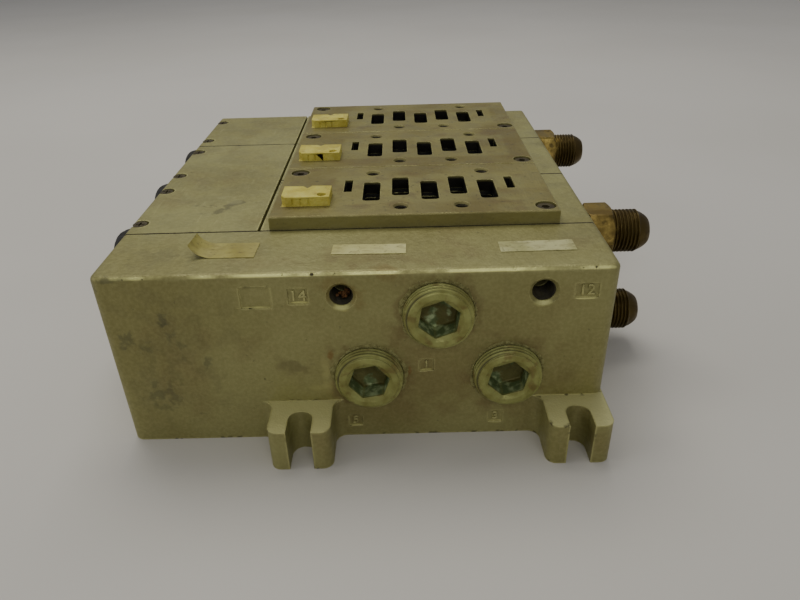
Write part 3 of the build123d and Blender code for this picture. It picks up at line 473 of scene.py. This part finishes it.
front_casting = casting("casting_front", front_marks, (FRONT_SEAM,), (-109.45, 74.45, 0.95))
station_casting = casting("casting_station", inside_shade_and_streaks, STATION_SEAMS)
plain_casting = casting("casting_plain", plain_marks, STATION_SEAMS)
cover_paint = casting("cover_paint", cover_marks, (FRONT_SEAM, COVER_SEAM))
pad_metal = pad_look()
zinc = zinc_look()
brass = brass_look()
nylon = nylon_look()
rubber = simple_look("seal_rubber", (0.025, 0.024, 0.02), (0.012, 0.012, 0.01), 0.7)
steel = simple_look("fastener_steel", (0.15, 0.14, 0.10), (0.075, 0.06, 0.035),
                    0.5, 0.8, 300, 0.00006, (0.4, 0.38, 0.3))
black = simple_look("cap_black", (0.010, 0.010, 0.008), (0.017, 0.016, 0.012),
                    0.62, 0.0, 150, 0.00006, (0.035, 0.034, 0.026))
terminal = simple_look("terminal_grey", (0.42, 0.42, 0.38), (0.34, 0.33, 0.28), 0.5)
board = simple_look("board_green", (0.04, 0.12, 0.05), (0.03, 0.085, 0.035), 0.4)
contact = simple_look("contact_brass", (0.55, 0.42, 0.17), (0.42, 0.3, 0.11), 0.35, 0.9)
rust = simple_look("rust_crust", (0.20, 0.085, 0.02), (0.09, 0.035, 0.01), 0.85, 0.0, 500, 0.0003)
rusty = simple_look("screw_rusty", (0.075, 0.062, 0.026), (0.040, 0.030, 0.012),
                    0.65, 0.4, 300, 0.0001, (0.16, 0.14, 0.07))
# Near-black thread in the small holes: painted shade, with a little dirt.
hole_shade_and_dirt = simple_look("hole_shade_and_dirt", (0.050, 0.043, 0.018), (0.022, 0.018, 0.008), 0.7, 0.2, 300)
sealant = simple_look("sealant_crust", (0.30, 0.29, 0.105), (0.17, 0.155, 0.045), 0.8, 0.0, 500, 0.0003)
thread_metal = simple_look("thread_metal", (0.23, 0.22, 0.15), (0.11, 0.095, 0.05), 0.5, 0.5, 300)
labels = {
    "blank_label_1": label_look("label_yellowed", (0.42, 0.38, 0.11), (0.30, 0.26, 0.06), 2.0),
    "blank_label_2": label_look("label_pale", (0.60, 0.58, 0.25), (0.48, 0.45, 0.16), 3.0),
    "blank_label_3": label_look("label_faded", (0.38, 0.37, 0.15), (0.52, 0.51, 0.25), 5.0),
}


NODE_LOOKS = (
    (("front_end_plate",), front_casting),
    (("station_base",), station_casting),
    (("wiring_trunk", "rear_end_plate"), plain_casting),
    (("wiring_cover",), cover_paint),
    (("valve_pad",), pad_metal),
    (("block_seal", "pad_seal", "cover_seal"), rubber),
    (("pad_screws", "cover_screws"), rusty),
    (("tie_rod", "terminal_screws"), steel),
    (("terminal_block",), terminal),
    (("link_board",), board),
    (("connector_contacts",), contact),
    (("cable_entry",), black),
)
for node in frame["nodes"]:
    for starts, material in NODE_LOOKS:
        if node.startswith(starts):
            for slot in frame["nodes"][node].material_slots:
                slot.material = material


# ---- mesh helpers ------------------------------------------------------------------------
def piece(name, verts, faces, material, body, crease=35.0):
    """A smooth-shaded mesh with sharp edges above the crease angle, riding on a body."""
    mesh = bpy.data.meshes.new(name)
    mesh.from_pydata([tuple(v) for v in verts], [], faces)
    mesh.validate()
    shell = bmesh.new()
    shell.from_mesh(mesh)
    bmesh.ops.recalc_face_normals(shell, faces=shell.faces)
    shell.to_mesh(mesh)
    shell.free()
    mesh.shade_smooth()
    mesh.set_sharp_from_angle(angle=math.radians(crease))
    mesh.materials.append(material)
    item = bpy.data.objects.new(name, mesh)
    bpy.context.scene.collection.objects.link(item)
    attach(item, body)
    return item


def turned(rings, origin, direction, segments=96, closed=True, across=(0, 0, 1)):
    """Vertices and faces of rings round an axis.

    Each ring is (distance, radius), where the radius may be a function of the angle.
    """
    along = Vector(direction)
    across = Vector(across)
    side = along.cross(across)
    verts = []
    for distance, radius in rings:
        for step in range(segments):
            angle = math.tau * step / segments
            r = radius(angle) if callable(radius) else radius
            outward = side * math.cos(angle) + across * math.sin(angle)
            verts.append(Vector(origin) + along * distance + outward * r)
    faces = []
    for index in range(len(rings) - 1):
        for step in range(segments):
            a = index * segments + step
            b = index * segments + (step + 1) % segments
            faces.append((a, b, b + segments, a + segments))
    if closed:
        faces.append(tuple(range(segments)))
        last = (len(rings) - 1) * segments
        faces.append(tuple(range(last, last + segments)))
    return verts, faces


def hexagon(across_flats, turn=0.0):
    """The radius of a hexagon at an angle."""
    def radius(angle):
        part = (angle + turn) % (math.pi / 3) - math.pi / 6
        return across_flats / 2 / math.cos(part)
    return radius


def smaller(radius, limit):
    return lambda angle: min(radius(angle), limit)


def thread(distance, pitch, crest, root):
    """The radius of a thread's flank at one distance along it."""
    def radius(angle):
        turn = (distance / pitch - angle / math.tau) % 1.0
        flank = min(abs(turn - 0.5) * 2.6, 1.0)
        return crest + (root - crest) * (1.0 - flank)
    return radius


def thread_rings(start, end, pitch, crest, root, per_turn=8):
    count = max(2, round((end - start) / pitch * per_turn))
    steps = [start + (end - start) * i / count for i in range(count + 1)]
    return [(d, thread(d, pitch, crest, root)) for d in steps]


def dented(radius, amount, scale, seed):
    """A radius with small uneven dents."""
    def out(angle):
        base = radius(angle) if callable(radius) else radius
        spot = Vector((math.cos(angle) * scale, math.sin(angle) * scale, seed))
        return base - amount * max(0.0, noise.noise(spot))
    return out


# ---- port plugs --------------------------------------------------------------------------
PLUG_PITCH = 1.45 * MM
PLUG_THREAD_DEPTH = 1.05 * MM
PLUG_TAPER = 0.85 * MM
PLUG_TAPER_LENGTH = 4.6 * MM
PLUG_HEX = 14.0 * MM


def plug_taper(from_face):
    """How much narrower a plug's thread is, at a distance from its outer face."""
    return PLUG_TAPER * max(0.0, (PLUG_TAPER_LENGTH - from_face) / PLUG_TAPER_LENGTH) ** 1.5


for node, turn in PLUG_TURNS.items():
    low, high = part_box(node)
    centre = middle(node)
    face = high[1] - low[1]
    crest = (high[0] - low[0]) / 2
    socket = hexagon(PLUG_HEX, turn)
    rings = [(0, crest - 1.6 * MM), (0.6 * MM, crest - 0.9 * MM)]
    for distance, radius in thread_rings(1.2 * MM, face - 0.9 * MM, PLUG_PITCH, 0.0, -PLUG_THREAD_DEPTH, 10):
        taper = plug_taper(face - distance)
        rings.append((distance, lambda angle, r=radius, t=taper: crest - t + r(angle)))
    rings += [
        (face - 0.75 * MM, crest - 1.75 * MM),
        (face - 0.3 * MM, dented(crest - 1.7 * MM, 0.25 * MM, 2.5, turn * 9)),
        (face - 0.05 * MM, dented(crest - 2.0 * MM, 0.25 * MM, 2.5, turn * 9)),
        (face, crest - 2.4 * MM),
        (face, 9.0 * MM),
        (face - 0.25 * MM, 8.6 * MM),
        (face - 0.9 * MM, lambda angle, s=socket: s(angle) * 1.01),
        (face - 8.6 * MM, socket),
        (face - 9.0 * MM, lambda angle, s=socket: s(angle) * 0.95),
        (face - 9.4 * MM, 5.2 * MM),
        (face - 10.6 * MM, 0.4 * MM),
    ]
    verts, faces = turned(rings, (centre.x, high[1], centre.z), (0, -1, 0))
    body = node.replace("port_plug", "plug")
    plug = piece(f"{node}_threaded", verts, faces, zinc, body, 28)
    depth = plug.data.attributes.new("groove", "FLOAT", "POINT")
    for vert in plug.data.vertices:
        from_face = vert.co.y - low[1]
        reach = math.hypot(vert.co.x - centre.x, vert.co.z - centre.z)
        groove_floor = crest - plug_taper(from_face) - PLUG_THREAD_DEPTH
        on_thread = from_face > 0.8 * MM and reach > crest - 2.2 * MM
        depth.data[vert.index].value = (reach - groove_floor) / PLUG_THREAD_DEPTH if on_thread else 1.0
    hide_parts(node)


# ---- dried sealant squeezed out round the port plugs --------------------------------------
def bead(name, centre, inner, front, seed):
    """A low uneven bead on the front face, just outside a plug's thread."""
    count = 180
    verts = []
    for step in range(count):
        angle = math.tau * step / count
        across, up = math.cos(angle), math.sin(angle)
        lump = 0.5 + noise.noise(Vector((across * 2.2, up * 2.2, seed)))
        fine = noise.noise(Vector((across * 14, up * 14, seed + 3)))
        width = (0.5 + 1.5 * max(0.0, lump) + 0.5 * fine) * MM
        height = (0.16 + 0.35 * max(0.0, lump) + 0.22 * fine) * MM
        profile = ((0.0, -0.1 * MM), (0.0, height * 0.7), (0.35, height),
                   (0.72, height * (0.55 + 0.3 * fine)), (1.0, -0.1 * MM))
        for part, rise in profile:
            reach = inner + width * part
            verts.append(Vector((centre.x + across * reach, front - rise, centre.z + up * reach)))
    faces = []
    for step in range(count):
        after = (step + 1) % count
        for side in range(5):
            a, b = step * 5 + side, step * 5 + (side + 1) % 5
            faces.append((a, b, after * 5 + (side + 1) % 5, after * 5 + side))
    crust = piece(name, verts, faces, sealant, "root", 60)


for node, seed in (("port_plug_1", 1.3), ("port_plug_5", 6.1), ("port_plug_3", 3.7)):
    low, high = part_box(node)
    bead(f"sealant_{node}", middle(node), (high[0] - low[0]) / 2 + 0.08 * MM, FRONT_FACE_Y, seed)


# ---- flare fittings ----------------------------------------------------------------------
FLARE_HEX = 22.2 * MM
FLARE_PITCH = 1.5875 * MM
FLARE_CREST = 9.525 * MM
FLARE_ROOT = 8.65 * MM

for name in ("upper_1", "lower_1", "upper_3"):
    node = f"flare_fitting_{name}"
    low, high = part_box(node)
    centre = middle(node)
    start = Vector((low[0], centre.y, centre.z))
    hexagonal = hexagon(FLARE_HEX, 0.05 if name == "upper_1" else 0.09)
    shank = 14.0
    neck = (high[0] - low[0]) / MM - shank - 28.7
    rings = [(0, 4.9 * MM), (0, 7.6 * MM), (0.8 * MM, 8.2 * MM), ((shank - 0.2) * MM, 8.25 * MM)]
    rings += [((shank + 0.02) * MM, 8.9 * MM), ((shank + 0.4) * MM, 9.2 * MM)]
    rings.append(((shank + neck - 0.3) * MM, 9.2 * MM))
    hex_start = shank + neck
    rings.append((hex_start * MM, 9.3 * MM))
    for step in range(9):
        limit = (10.6 + step * 0.29) * MM
        rings.append(((hex_start + step * 0.17) * MM, smaller(hexagonal, limit)))
    for step in range(8, -1, -1):
        limit = (10.6 + step * 0.29) * MM
        rings.append(((hex_start + 12.0 - step * 0.17) * MM, smaller(hexagonal, limit)))
    thread_start = hex_start + 12.0
    rings += [((thread_start + 0.02) * MM, 8.7 * MM), ((thread_start + 0.9) * MM, 8.6 * MM)]
    rings += thread_rings((thread_start + 1.0) * MM, (thread_start + 11.4) * MM,
                          FLARE_PITCH, FLARE_CREST, FLARE_ROOT)
    nose = thread_start + 11.7
    rings += [
        (nose * MM, 9.0 * MM),
        ((nose + 0.5) * MM, 8.75 * MM),
        ((nose + 1.5) * MM, 8.35 * MM),
        ((nose + 2.6) * MM, 7.75 * MM),
        ((nose + 3.7) * MM, 7.0 * MM),
        ((nose + 4.5) * MM, 6.3 * MM),
        ((nose + 4.9) * MM, 5.8 * MM),
        ((nose + 5.0) * MM, 5.3 * MM),
        ((nose + 4.8) * MM, 4.95 * MM),
        (0.0, 4.9 * MM),
    ]
    verts, faces = turned(rings, start, (1, 0, 0), 96, closed=False)
    fitting = piece(f"{node}_machined", verts, faces, brass, "root", 28)
    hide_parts(node)


# ---- open threaded ports -----------------------------------------------------------------
def threaded_sleeve(name, mouth, inward, radius, depth, pitch, material):
    """The thread inside an open port, as a thin sleeve just inside its wall."""
    root = radius - 0.03 * MM
    crest = radius - pitch * 0.5
    rings = thread_rings(0.4 * MM, depth, pitch, root, crest)
    rings = [(0.35 * MM, root)] + rings + [(depth + 0.05 * MM, root)]
    verts, faces = turned(rings, mouth, inward, 72, closed=False)
    sleeve = piece(name, verts, faces, material, "root", 28)


mounts = {mount["name"]: mount for mount in frame["record"]["mounts"]}
# The pilot port threads are painted near-black: painted shade.
for name in ("pilot_port_14", "pilot_port_12"):
    place = mounts[name]["pos_m"]
    mouth = (place[0], FRONT_FACE_Y + 1.2 * MM, place[2])
    threaded_sleeve(f"{name}_thread", mouth, (0, 1, 0), 4.3 * MM, 10.0 * MM, 0.907 * MM, hole_shade_and_dirt)
right_face_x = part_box("rear_end_plate")[1][0]
for name in ("outlet_upper_2", "outlet_lower_2", "outlet_lower_3"):
    place = mounts[name]["pos_m"]
    mouth = (right_face_x, place[1], place[2])
    threaded_sleeve(f"{name}_thread", mouth, (-1, 0, 0), 8.33 * MM, 14.5 * MM, 1.337 * MM, thread_metal)
# The valve screw hole threads are painted near-black: painted shade.
for number in STATIONS:
    centre_y = middle(f"valve_pad_{number}").y
    pad_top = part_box(f"valve_pad_{number}")[1][2]
    spots = [(dx, 19.8) for dx in (-24.7, 24.7)] + [(dx, -19.8) for dx in (-12.35, 12.35)]
    for index, (dx, dy) in enumerate(spots):
        mouth = (SLOT_ROW_X + dx * MM, centre_y + dy * MM, pad_top - 0.8 * MM)
        rings = thread_rings(0.2 * MM, 4.5 * MM, 0.9 * MM, 2.47 * MM, 2.1 * MM)
        verts, faces = turned(rings, mouth, (0, 0, -1), 48, closed=False, across=(0, 1, 0))
        sleeve = piece(f"valve_screw_thread_{number}_{index + 1}", verts, faces, hole_shade_and_dirt, "root", 28)


# ---- rust and swarf in the left pilot port -----------------------------------------------
place = mounts["pilot_port_14"]["pos_m"]
crumbs = bmesh.new()
for index in range(9):
    size = random.uniform(0.5, 1.15) * MM
    angle = random.uniform(-2.6, -0.4)
    reach = random.uniform(1.2, 2.5) * MM
    centre = Vector((place[0] + math.cos(angle) * reach, FRONT_FACE_Y + random.uniform(3.0, 7.0) * MM,
                     place[2] + math.sin(angle) * reach))
    lump = bmesh.ops.create_icosphere(crumbs, subdivisions=3, radius=size, matrix=Matrix.Translation(centre))
    for vert in lump["verts"]:
        away = (vert.co - centre).normalized()
        vert.co = vert.co + away * size * 0.5 * noise.noise(vert.co * 2600)
verts = [v.co.copy() for v in crumbs.verts]
faces = [tuple(v.index for v in f.verts) for f in crumbs.faces]
crumbs.free()
debris = piece("port_debris", verts, faces, rust, "root", 60)


# ---- cable entry caps --------------------------------------------------------------------
CAP_RIBS = 14


def ribbed(radius, depth):
    """A radius with grip ribs cut to a depth."""
    return lambda angle: radius - depth * (0.5 + 0.5 * math.cos(angle * CAP_RIBS)) ** 2


for number in STATIONS:
    node = f"cable_entry_cap_{number}"
    low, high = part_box(node)
    centre = middle(node)
    face_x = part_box("rear_end_plate")[0][0]
    out = face_x - low[0]
    inner_end = face_x - high[0]
    rings = [(inner_end, 8.2 * MM), (inner_end + 0.8 * MM, 9.0 * MM), (-0.05 * MM, 9.0 * MM)]
    rings += [(0.02 * MM, 10.6 * MM), (0.5 * MM, 11.0 * MM), (2.6 * MM, 11.0 * MM), (3.0 * MM, 10.7 * MM)]
    rings += [(3.2 * MM, ribbed(10.7 * MM, 0.4 * MM)), (4.0 * MM, ribbed(10.9 * MM, 0.9 * MM))]
    rings += [(out - 5.4 * MM, ribbed(10.8 * MM, 0.9 * MM)), (out - 4.0 * MM, ribbed(10.4 * MM, 0.6 * MM))]
    rings += [(out - 2.8 * MM, ribbed(9.7 * MM, 0.25 * MM)), (out - 1.6 * MM, 8.6 * MM)]
    rings += [(out - 0.7 * MM, 7.2 * MM), (out - 0.15 * MM, 5.2 * MM), (out, 3.6 * MM)]
    rings += [(out - 0.35 * MM, 3.0 * MM), (out - 0.4 * MM, 0.2 * MM)]
    verts, faces = turned(rings, (face_x, centre.y, centre.z), (-1, 0, 0), 112)
    cap = piece(f"{node}_ribbed", verts, faces, black, "root", 30)
    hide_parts(node)


# ---- plug-in connectors ------------------------------------------------------------------
def cut_block(name, low, high, cutters, material, bevel):
    """A block with pieces cut out of it and its edges rounded, as one finished mesh."""
    mesh = bpy.data.meshes.new(name)
    shell = bmesh.new()
    size = Vector(high) - Vector(low)
    centre = (Vector(high) + Vector(low)) / 2
    bmesh.ops.create_cube(shell, size=1.0, matrix=Matrix.Translation(centre) @ Matrix.Diagonal((*size, 1)))
    shell.to_mesh(mesh)
    shell.free()
    block = bpy.data.objects.new(name, mesh)
    bpy.context.scene.collection.objects.link(block)
    for index, (verts, faces) in enumerate(cutters):
        tool_mesh = bpy.data.meshes.new(f"{name}_cut_{index}")
        tool_mesh.from_pydata([tuple(v) for v in verts], [], faces)
        tool_shell = bmesh.new()
        tool_shell.from_mesh(tool_mesh)
        bmesh.ops.recalc_face_normals(tool_shell, faces=tool_shell.faces)
        tool_shell.to_mesh(tool_mesh)
        tool_shell.free()
        tool = bpy.data.objects.new(tool_mesh.name, tool_mesh)
        bpy.context.scene.collection.objects.link(tool)
        modifier = block.modifiers.new(f"cut_{index}", "BOOLEAN")
        modifier.operation = "DIFFERENCE"
        modifier.solver = "EXACT"
        modifier.object = tool
    rounding = block.modifiers.new("rounding", "BEVEL")
    rounding.width = bevel
    rounding.segments = 3
    rounding.limit_method = "ANGLE"
    rounding.angle_limit = math.radians(40)
    depsgraph = bpy.context.evaluated_depsgraph_get()
    final = bpy.data.meshes.new_from_object(block.evaluated_get(depsgraph))
    final.name = f"{name}_mesh"
    for modifier in list(block.modifiers):
        tool = getattr(modifier, "object", None)
        if tool:
            bpy.data.objects.remove(tool)
    block.modifiers.clear()
    block.data = final
    final.materials.clear()
    final.materials.append(material)
    final.shade_smooth()
    final.set_sharp_from_angle(angle=math.radians(32))
    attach(block, "root")
    return block


def box_cut(x0, y0, z0, x1, y1, z1):
    verts = [Vector((x, y, z)) for x in (x0, x1) for y in (y0, y1) for z in (z0, z1)]
    faces = [(0, 1, 3, 2), (4, 6, 7, 5), (0, 4, 5, 1), (2, 3, 7, 6), (0, 2, 6, 4), (1, 5, 7, 3)]
    return verts, faces


def prism_cut(points, z0, z1):
    count = len(points)
    verts = [Vector((x, y, z0)) for x, y in points] + [Vector((x, y, z1)) for x, y in points]
    faces = [tuple(range(count)), tuple(range(count, 2 * count))]
    faces += [(i, (i + 1) % count, (i + 1) % count + count, i + count) for i in range(count)]
    return verts, faces


for number in STATIONS:
    node = f"plug_in_connector_{number}"
    low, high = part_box(node)
    centre = middle(node)
    top = high[2]
    notch = [(centre.x - 2.7 * MM, high[1] + 1 * MM), (centre.x + 2.7 * MM, high[1] + 1 * MM),
             (centre.x, high[1] - 2.4 * MM)]
    cutters = [prism_cut(notch, top - 3.9 * MM, top + 1 * MM)]
    for offset in (-5.2, -1.9, 1.4):
        x = centre.x + offset * MM
        cutters.append(box_cut(x - 0.3 * MM, low[1] - 1 * MM, top - 3.9 * MM,
                               x + 0.3 * MM, low[1] + 0.45 * MM, top - 0.9 * MM))
    corner = [(low[0] - 1 * MM, low[1] - 1 * MM), (low[0] + 2.6 * MM, low[1] - 1 * MM),
              (low[0] - 1 * MM, low[1] + 4.4 * MM)]
    cutters.append(prism_cut(corner, top - 3.9 * MM, top + 1 * MM))
    key = [(high[0] - 3.4 * MM + 1.9 * MM * math.cos(a), low[1] + 2.9 * MM + 1.9 * MM * math.sin(a))
           for a in [math.tau * i / 24 for i in range(24)]]
    cutters.append(prism_cut(key, top - 4.0 * MM, top + 1 * MM))
    block = cut_block(f"{node}_moulded", low, high, cutters, nylon, 0.35 * MM)
    for vert in block.data.vertices:
        if vert.co.z > top - 3.5 * MM:
            push = noise.noise(vert.co * 260 + Vector((number * 7, 0, 0))) * 0.4 * MM
            vert.co.z = min(top, vert.co.z + push - 0.1 * MM)
    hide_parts(node)


# ---- numerals in the cast boxes ----------------------------------------------------------
def numeral(text, x, z, height, sink):
    """Raised digits in a cast box on the front face."""
    curve = bpy.data.curves.new(f"digits_{text}", "FONT")
    curve.body = text
    curve.size = height * MM * 1.38
    curve.align_x = "CENTER"
    curve.align_y = "CENTER"
    curve.extrude = 0.22 * MM
    curve.bevel_depth = 0.1 * MM
    curve.bevel_resolution = 2
    curve.space_character = 1.05
    holder = bpy.data.objects.new(f"digits_{text}_curve", curve)
    bpy.context.scene.collection.objects.link(holder)
    holder.location = (x * MM, FRONT_FACE_Y + sink * MM, z * MM)
    holder.rotation_euler = (math.pi / 2, 0, 0)
    bpy.context.view_layer.update()
    mesh = bpy.data.meshes.new_from_object(holder.evaluated_get(bpy.context.evaluated_depsgraph_get()))
    mesh.transform(holder.matrix_world)
    bpy.data.objects.remove(holder)
    mesh.materials.clear()
    mesh.materials.append(front_casting)
    digits = bpy.data.objects.new(f"raised_digits_{text}", mesh)
    bpy.context.scene.collection.objects.link(digits)
    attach(digits, "root")


for text, x, z, height in (("14", -20.65, 65.75, 4.4), ("12", 82.75, 65.4, 4.2), ("1", 25.25, 34.2, 3.7),
                           ("5", -3.2, 7.6, 3.7), ("3", 52.7, 8.2, 3.7)):
    numeral(text, x, z, height, 0.4)


# ---- labels ------------------------------------------------------------------------------
def label(node, outline, curl, slant, shift=0.0, spread=1.0, thick=0.14):
    """A thin blank label; curl lifts its left end and slant turns it."""
    low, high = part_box(node)
    width = high[0] - low[0]
    depth = (high[1] - low[1]) * spread
    base = Vector(((low[0] + high[0]) / 2, (low[1] + high[1]) / 2 + shift, low[2]))
    columns, rows = 60, 16
    turn = Matrix.Rotation(slant, 3, "Z")
    top, bottom = [], []
    for i in range(columns + 1):
        u = i / columns
        for j in range(rows + 1):
            v = j / rows
            ragged = outline * noise.noise(Vector((u * 9, v * 9, 4.0)))
            x = width * (0.5 - u)
            y = depth * (v - 0.5) * (1 - 0.03 * ragged)
            lift = max(0.0, u - 0.6) / 0.4
            ripple = 0.12 * MM * abs(noise.noise(Vector((u * 6, v * 3, 9.0))))
            rise = curl * lift ** 2 * (1.05 - 0.15 * v) + ripple
            x += curl * 0.5 * lift ** 2.5
            spot = turn @ Vector((x, y, 0))
            point = base + spot + Vector((0, 0, 0.06 * MM + rise))
            top.append(point + Vector((0, 0, thick * MM)))
            bottom.append(point)
    verts = top + bottom
    count = (columns + 1) * (rows + 1)
    faces = []
    for i in range(columns):
        for j in range(rows):
            a = i * (rows + 1) + j
            quad = (a, a + 1, a + rows + 2, a + rows + 1)
            faces.append(quad)
            faces.append(tuple(count + k for k in reversed(quad)))
    border = list(range(rows + 1))
    border += [i * (rows + 1) + rows for i in range(1, columns + 1)]
    border += [columns * (rows + 1) + j for j in range(rows - 1, -1, -1)]
    border += [i * (rows + 1) for i in range(columns - 1, 0, -1)]
    for a, b in zip(border, border[1:] + border[:1]):
        faces.append((a, b, b + count, a + count))
    item = piece(f"{node}_sheet", verts, faces, labels[node], "root", 50)
    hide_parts(node)


label("blank_label_1", 0.6, 5.0 * MM, math.radians(-1), -4.2 * MM, 1.12)
label("blank_label_2", 0.4, 0.0, math.radians(-1.5))
label("blank_label_3", 0.8, 0.0, math.radians(0.5))


# ---- floor, lights and camera ------------------------------------------------------------
floor_mesh = bpy.data.meshes.new("floor")
floor_mesh.from_pydata([(-4, -3, 0), (4, -3, 0), (4, 5, 0), (-4, 5, 0)], [], [(0, 1, 2, 3)])
floor = bpy.data.objects.new("floor", floor_mesh)
bpy.context.scene.collection.objects.link(floor)
floor_look = Look("floor_pale", 0.7)
floor_tone = floor_look.mix(floor_look.noise(3, 3.0), (0.62, 0.60, 0.55), (0.59, 0.57, 0.52))
floor_mesh.materials.append(floor_look.finish(floor_tone))

world = bpy.data.worlds.new("studio")
world.use_nodes = True
world.node_tree.nodes["Background"].inputs["Color"].default_value = (0.93, 0.94, 1.0, 1)
world.node_tree.nodes["Background"].inputs["Strength"].default_value = 0.28
bpy.context.scene.world = world


def area_light(name, place, target, size, power, colour=(1, 0.97, 0.9)):
    data = bpy.data.lights.new(name, "AREA")
    data.shape = "RECTANGLE"
    data.size = size[0]
    data.size_y = size[1]
    data.energy = power
    data.color = colour
    lamp = bpy.data.objects.new(name, data)
    bpy.context.scene.collection.objects.link(lamp)
    lamp.location = place
    lamp.rotation_euler = (Vector(target) - Vector(place)).to_track_quat("-Z", "Y").to_euler()


area_light("overhead_light", (-0.15, 0.50, 1.30), (0, 0, 0.04), (1.0, 0.8), 9.5)
area_light("front_light", (0.15, -1.15, 0.95), (0, 0, 0.03), (0.9, 0.6), 3.3)
area_light("side_light", (-1.1, -0.25, 0.55), (0, 0, 0.03), (0.6, 0.6), 2.0)

lens = bpy.data.cameras.new("view")
lens.lens = 29.36
lens.sensor_width = 36
lens.clip_start = 0.01
camera = bpy.data.objects.new("view", lens)
bpy.context.scene.collection.objects.link(camera)
# The camera's turn, as an axis times an angle, and its place were solved from straight edges.
CAMERA_TURN = Vector((0.535756742, 0.000246554596, -0.0260772651))
CAMERA_PLACE = (0.01753, -0.31116, 0.18278)
tilt = Matrix.Rotation(CAMERA_TURN.length, 3, CAMERA_TURN.normalized())
rows = tilt @ Matrix(((1, 0, 0), (0, 0, -1), (0, 1, 0)))
facing = Matrix((rows[0], -rows[1], -rows[2])).transposed().to_4x4()
camera.matrix_world = Matrix.Translation(CAMERA_PLACE) @ facing
bpy.context.scene.camera = camera
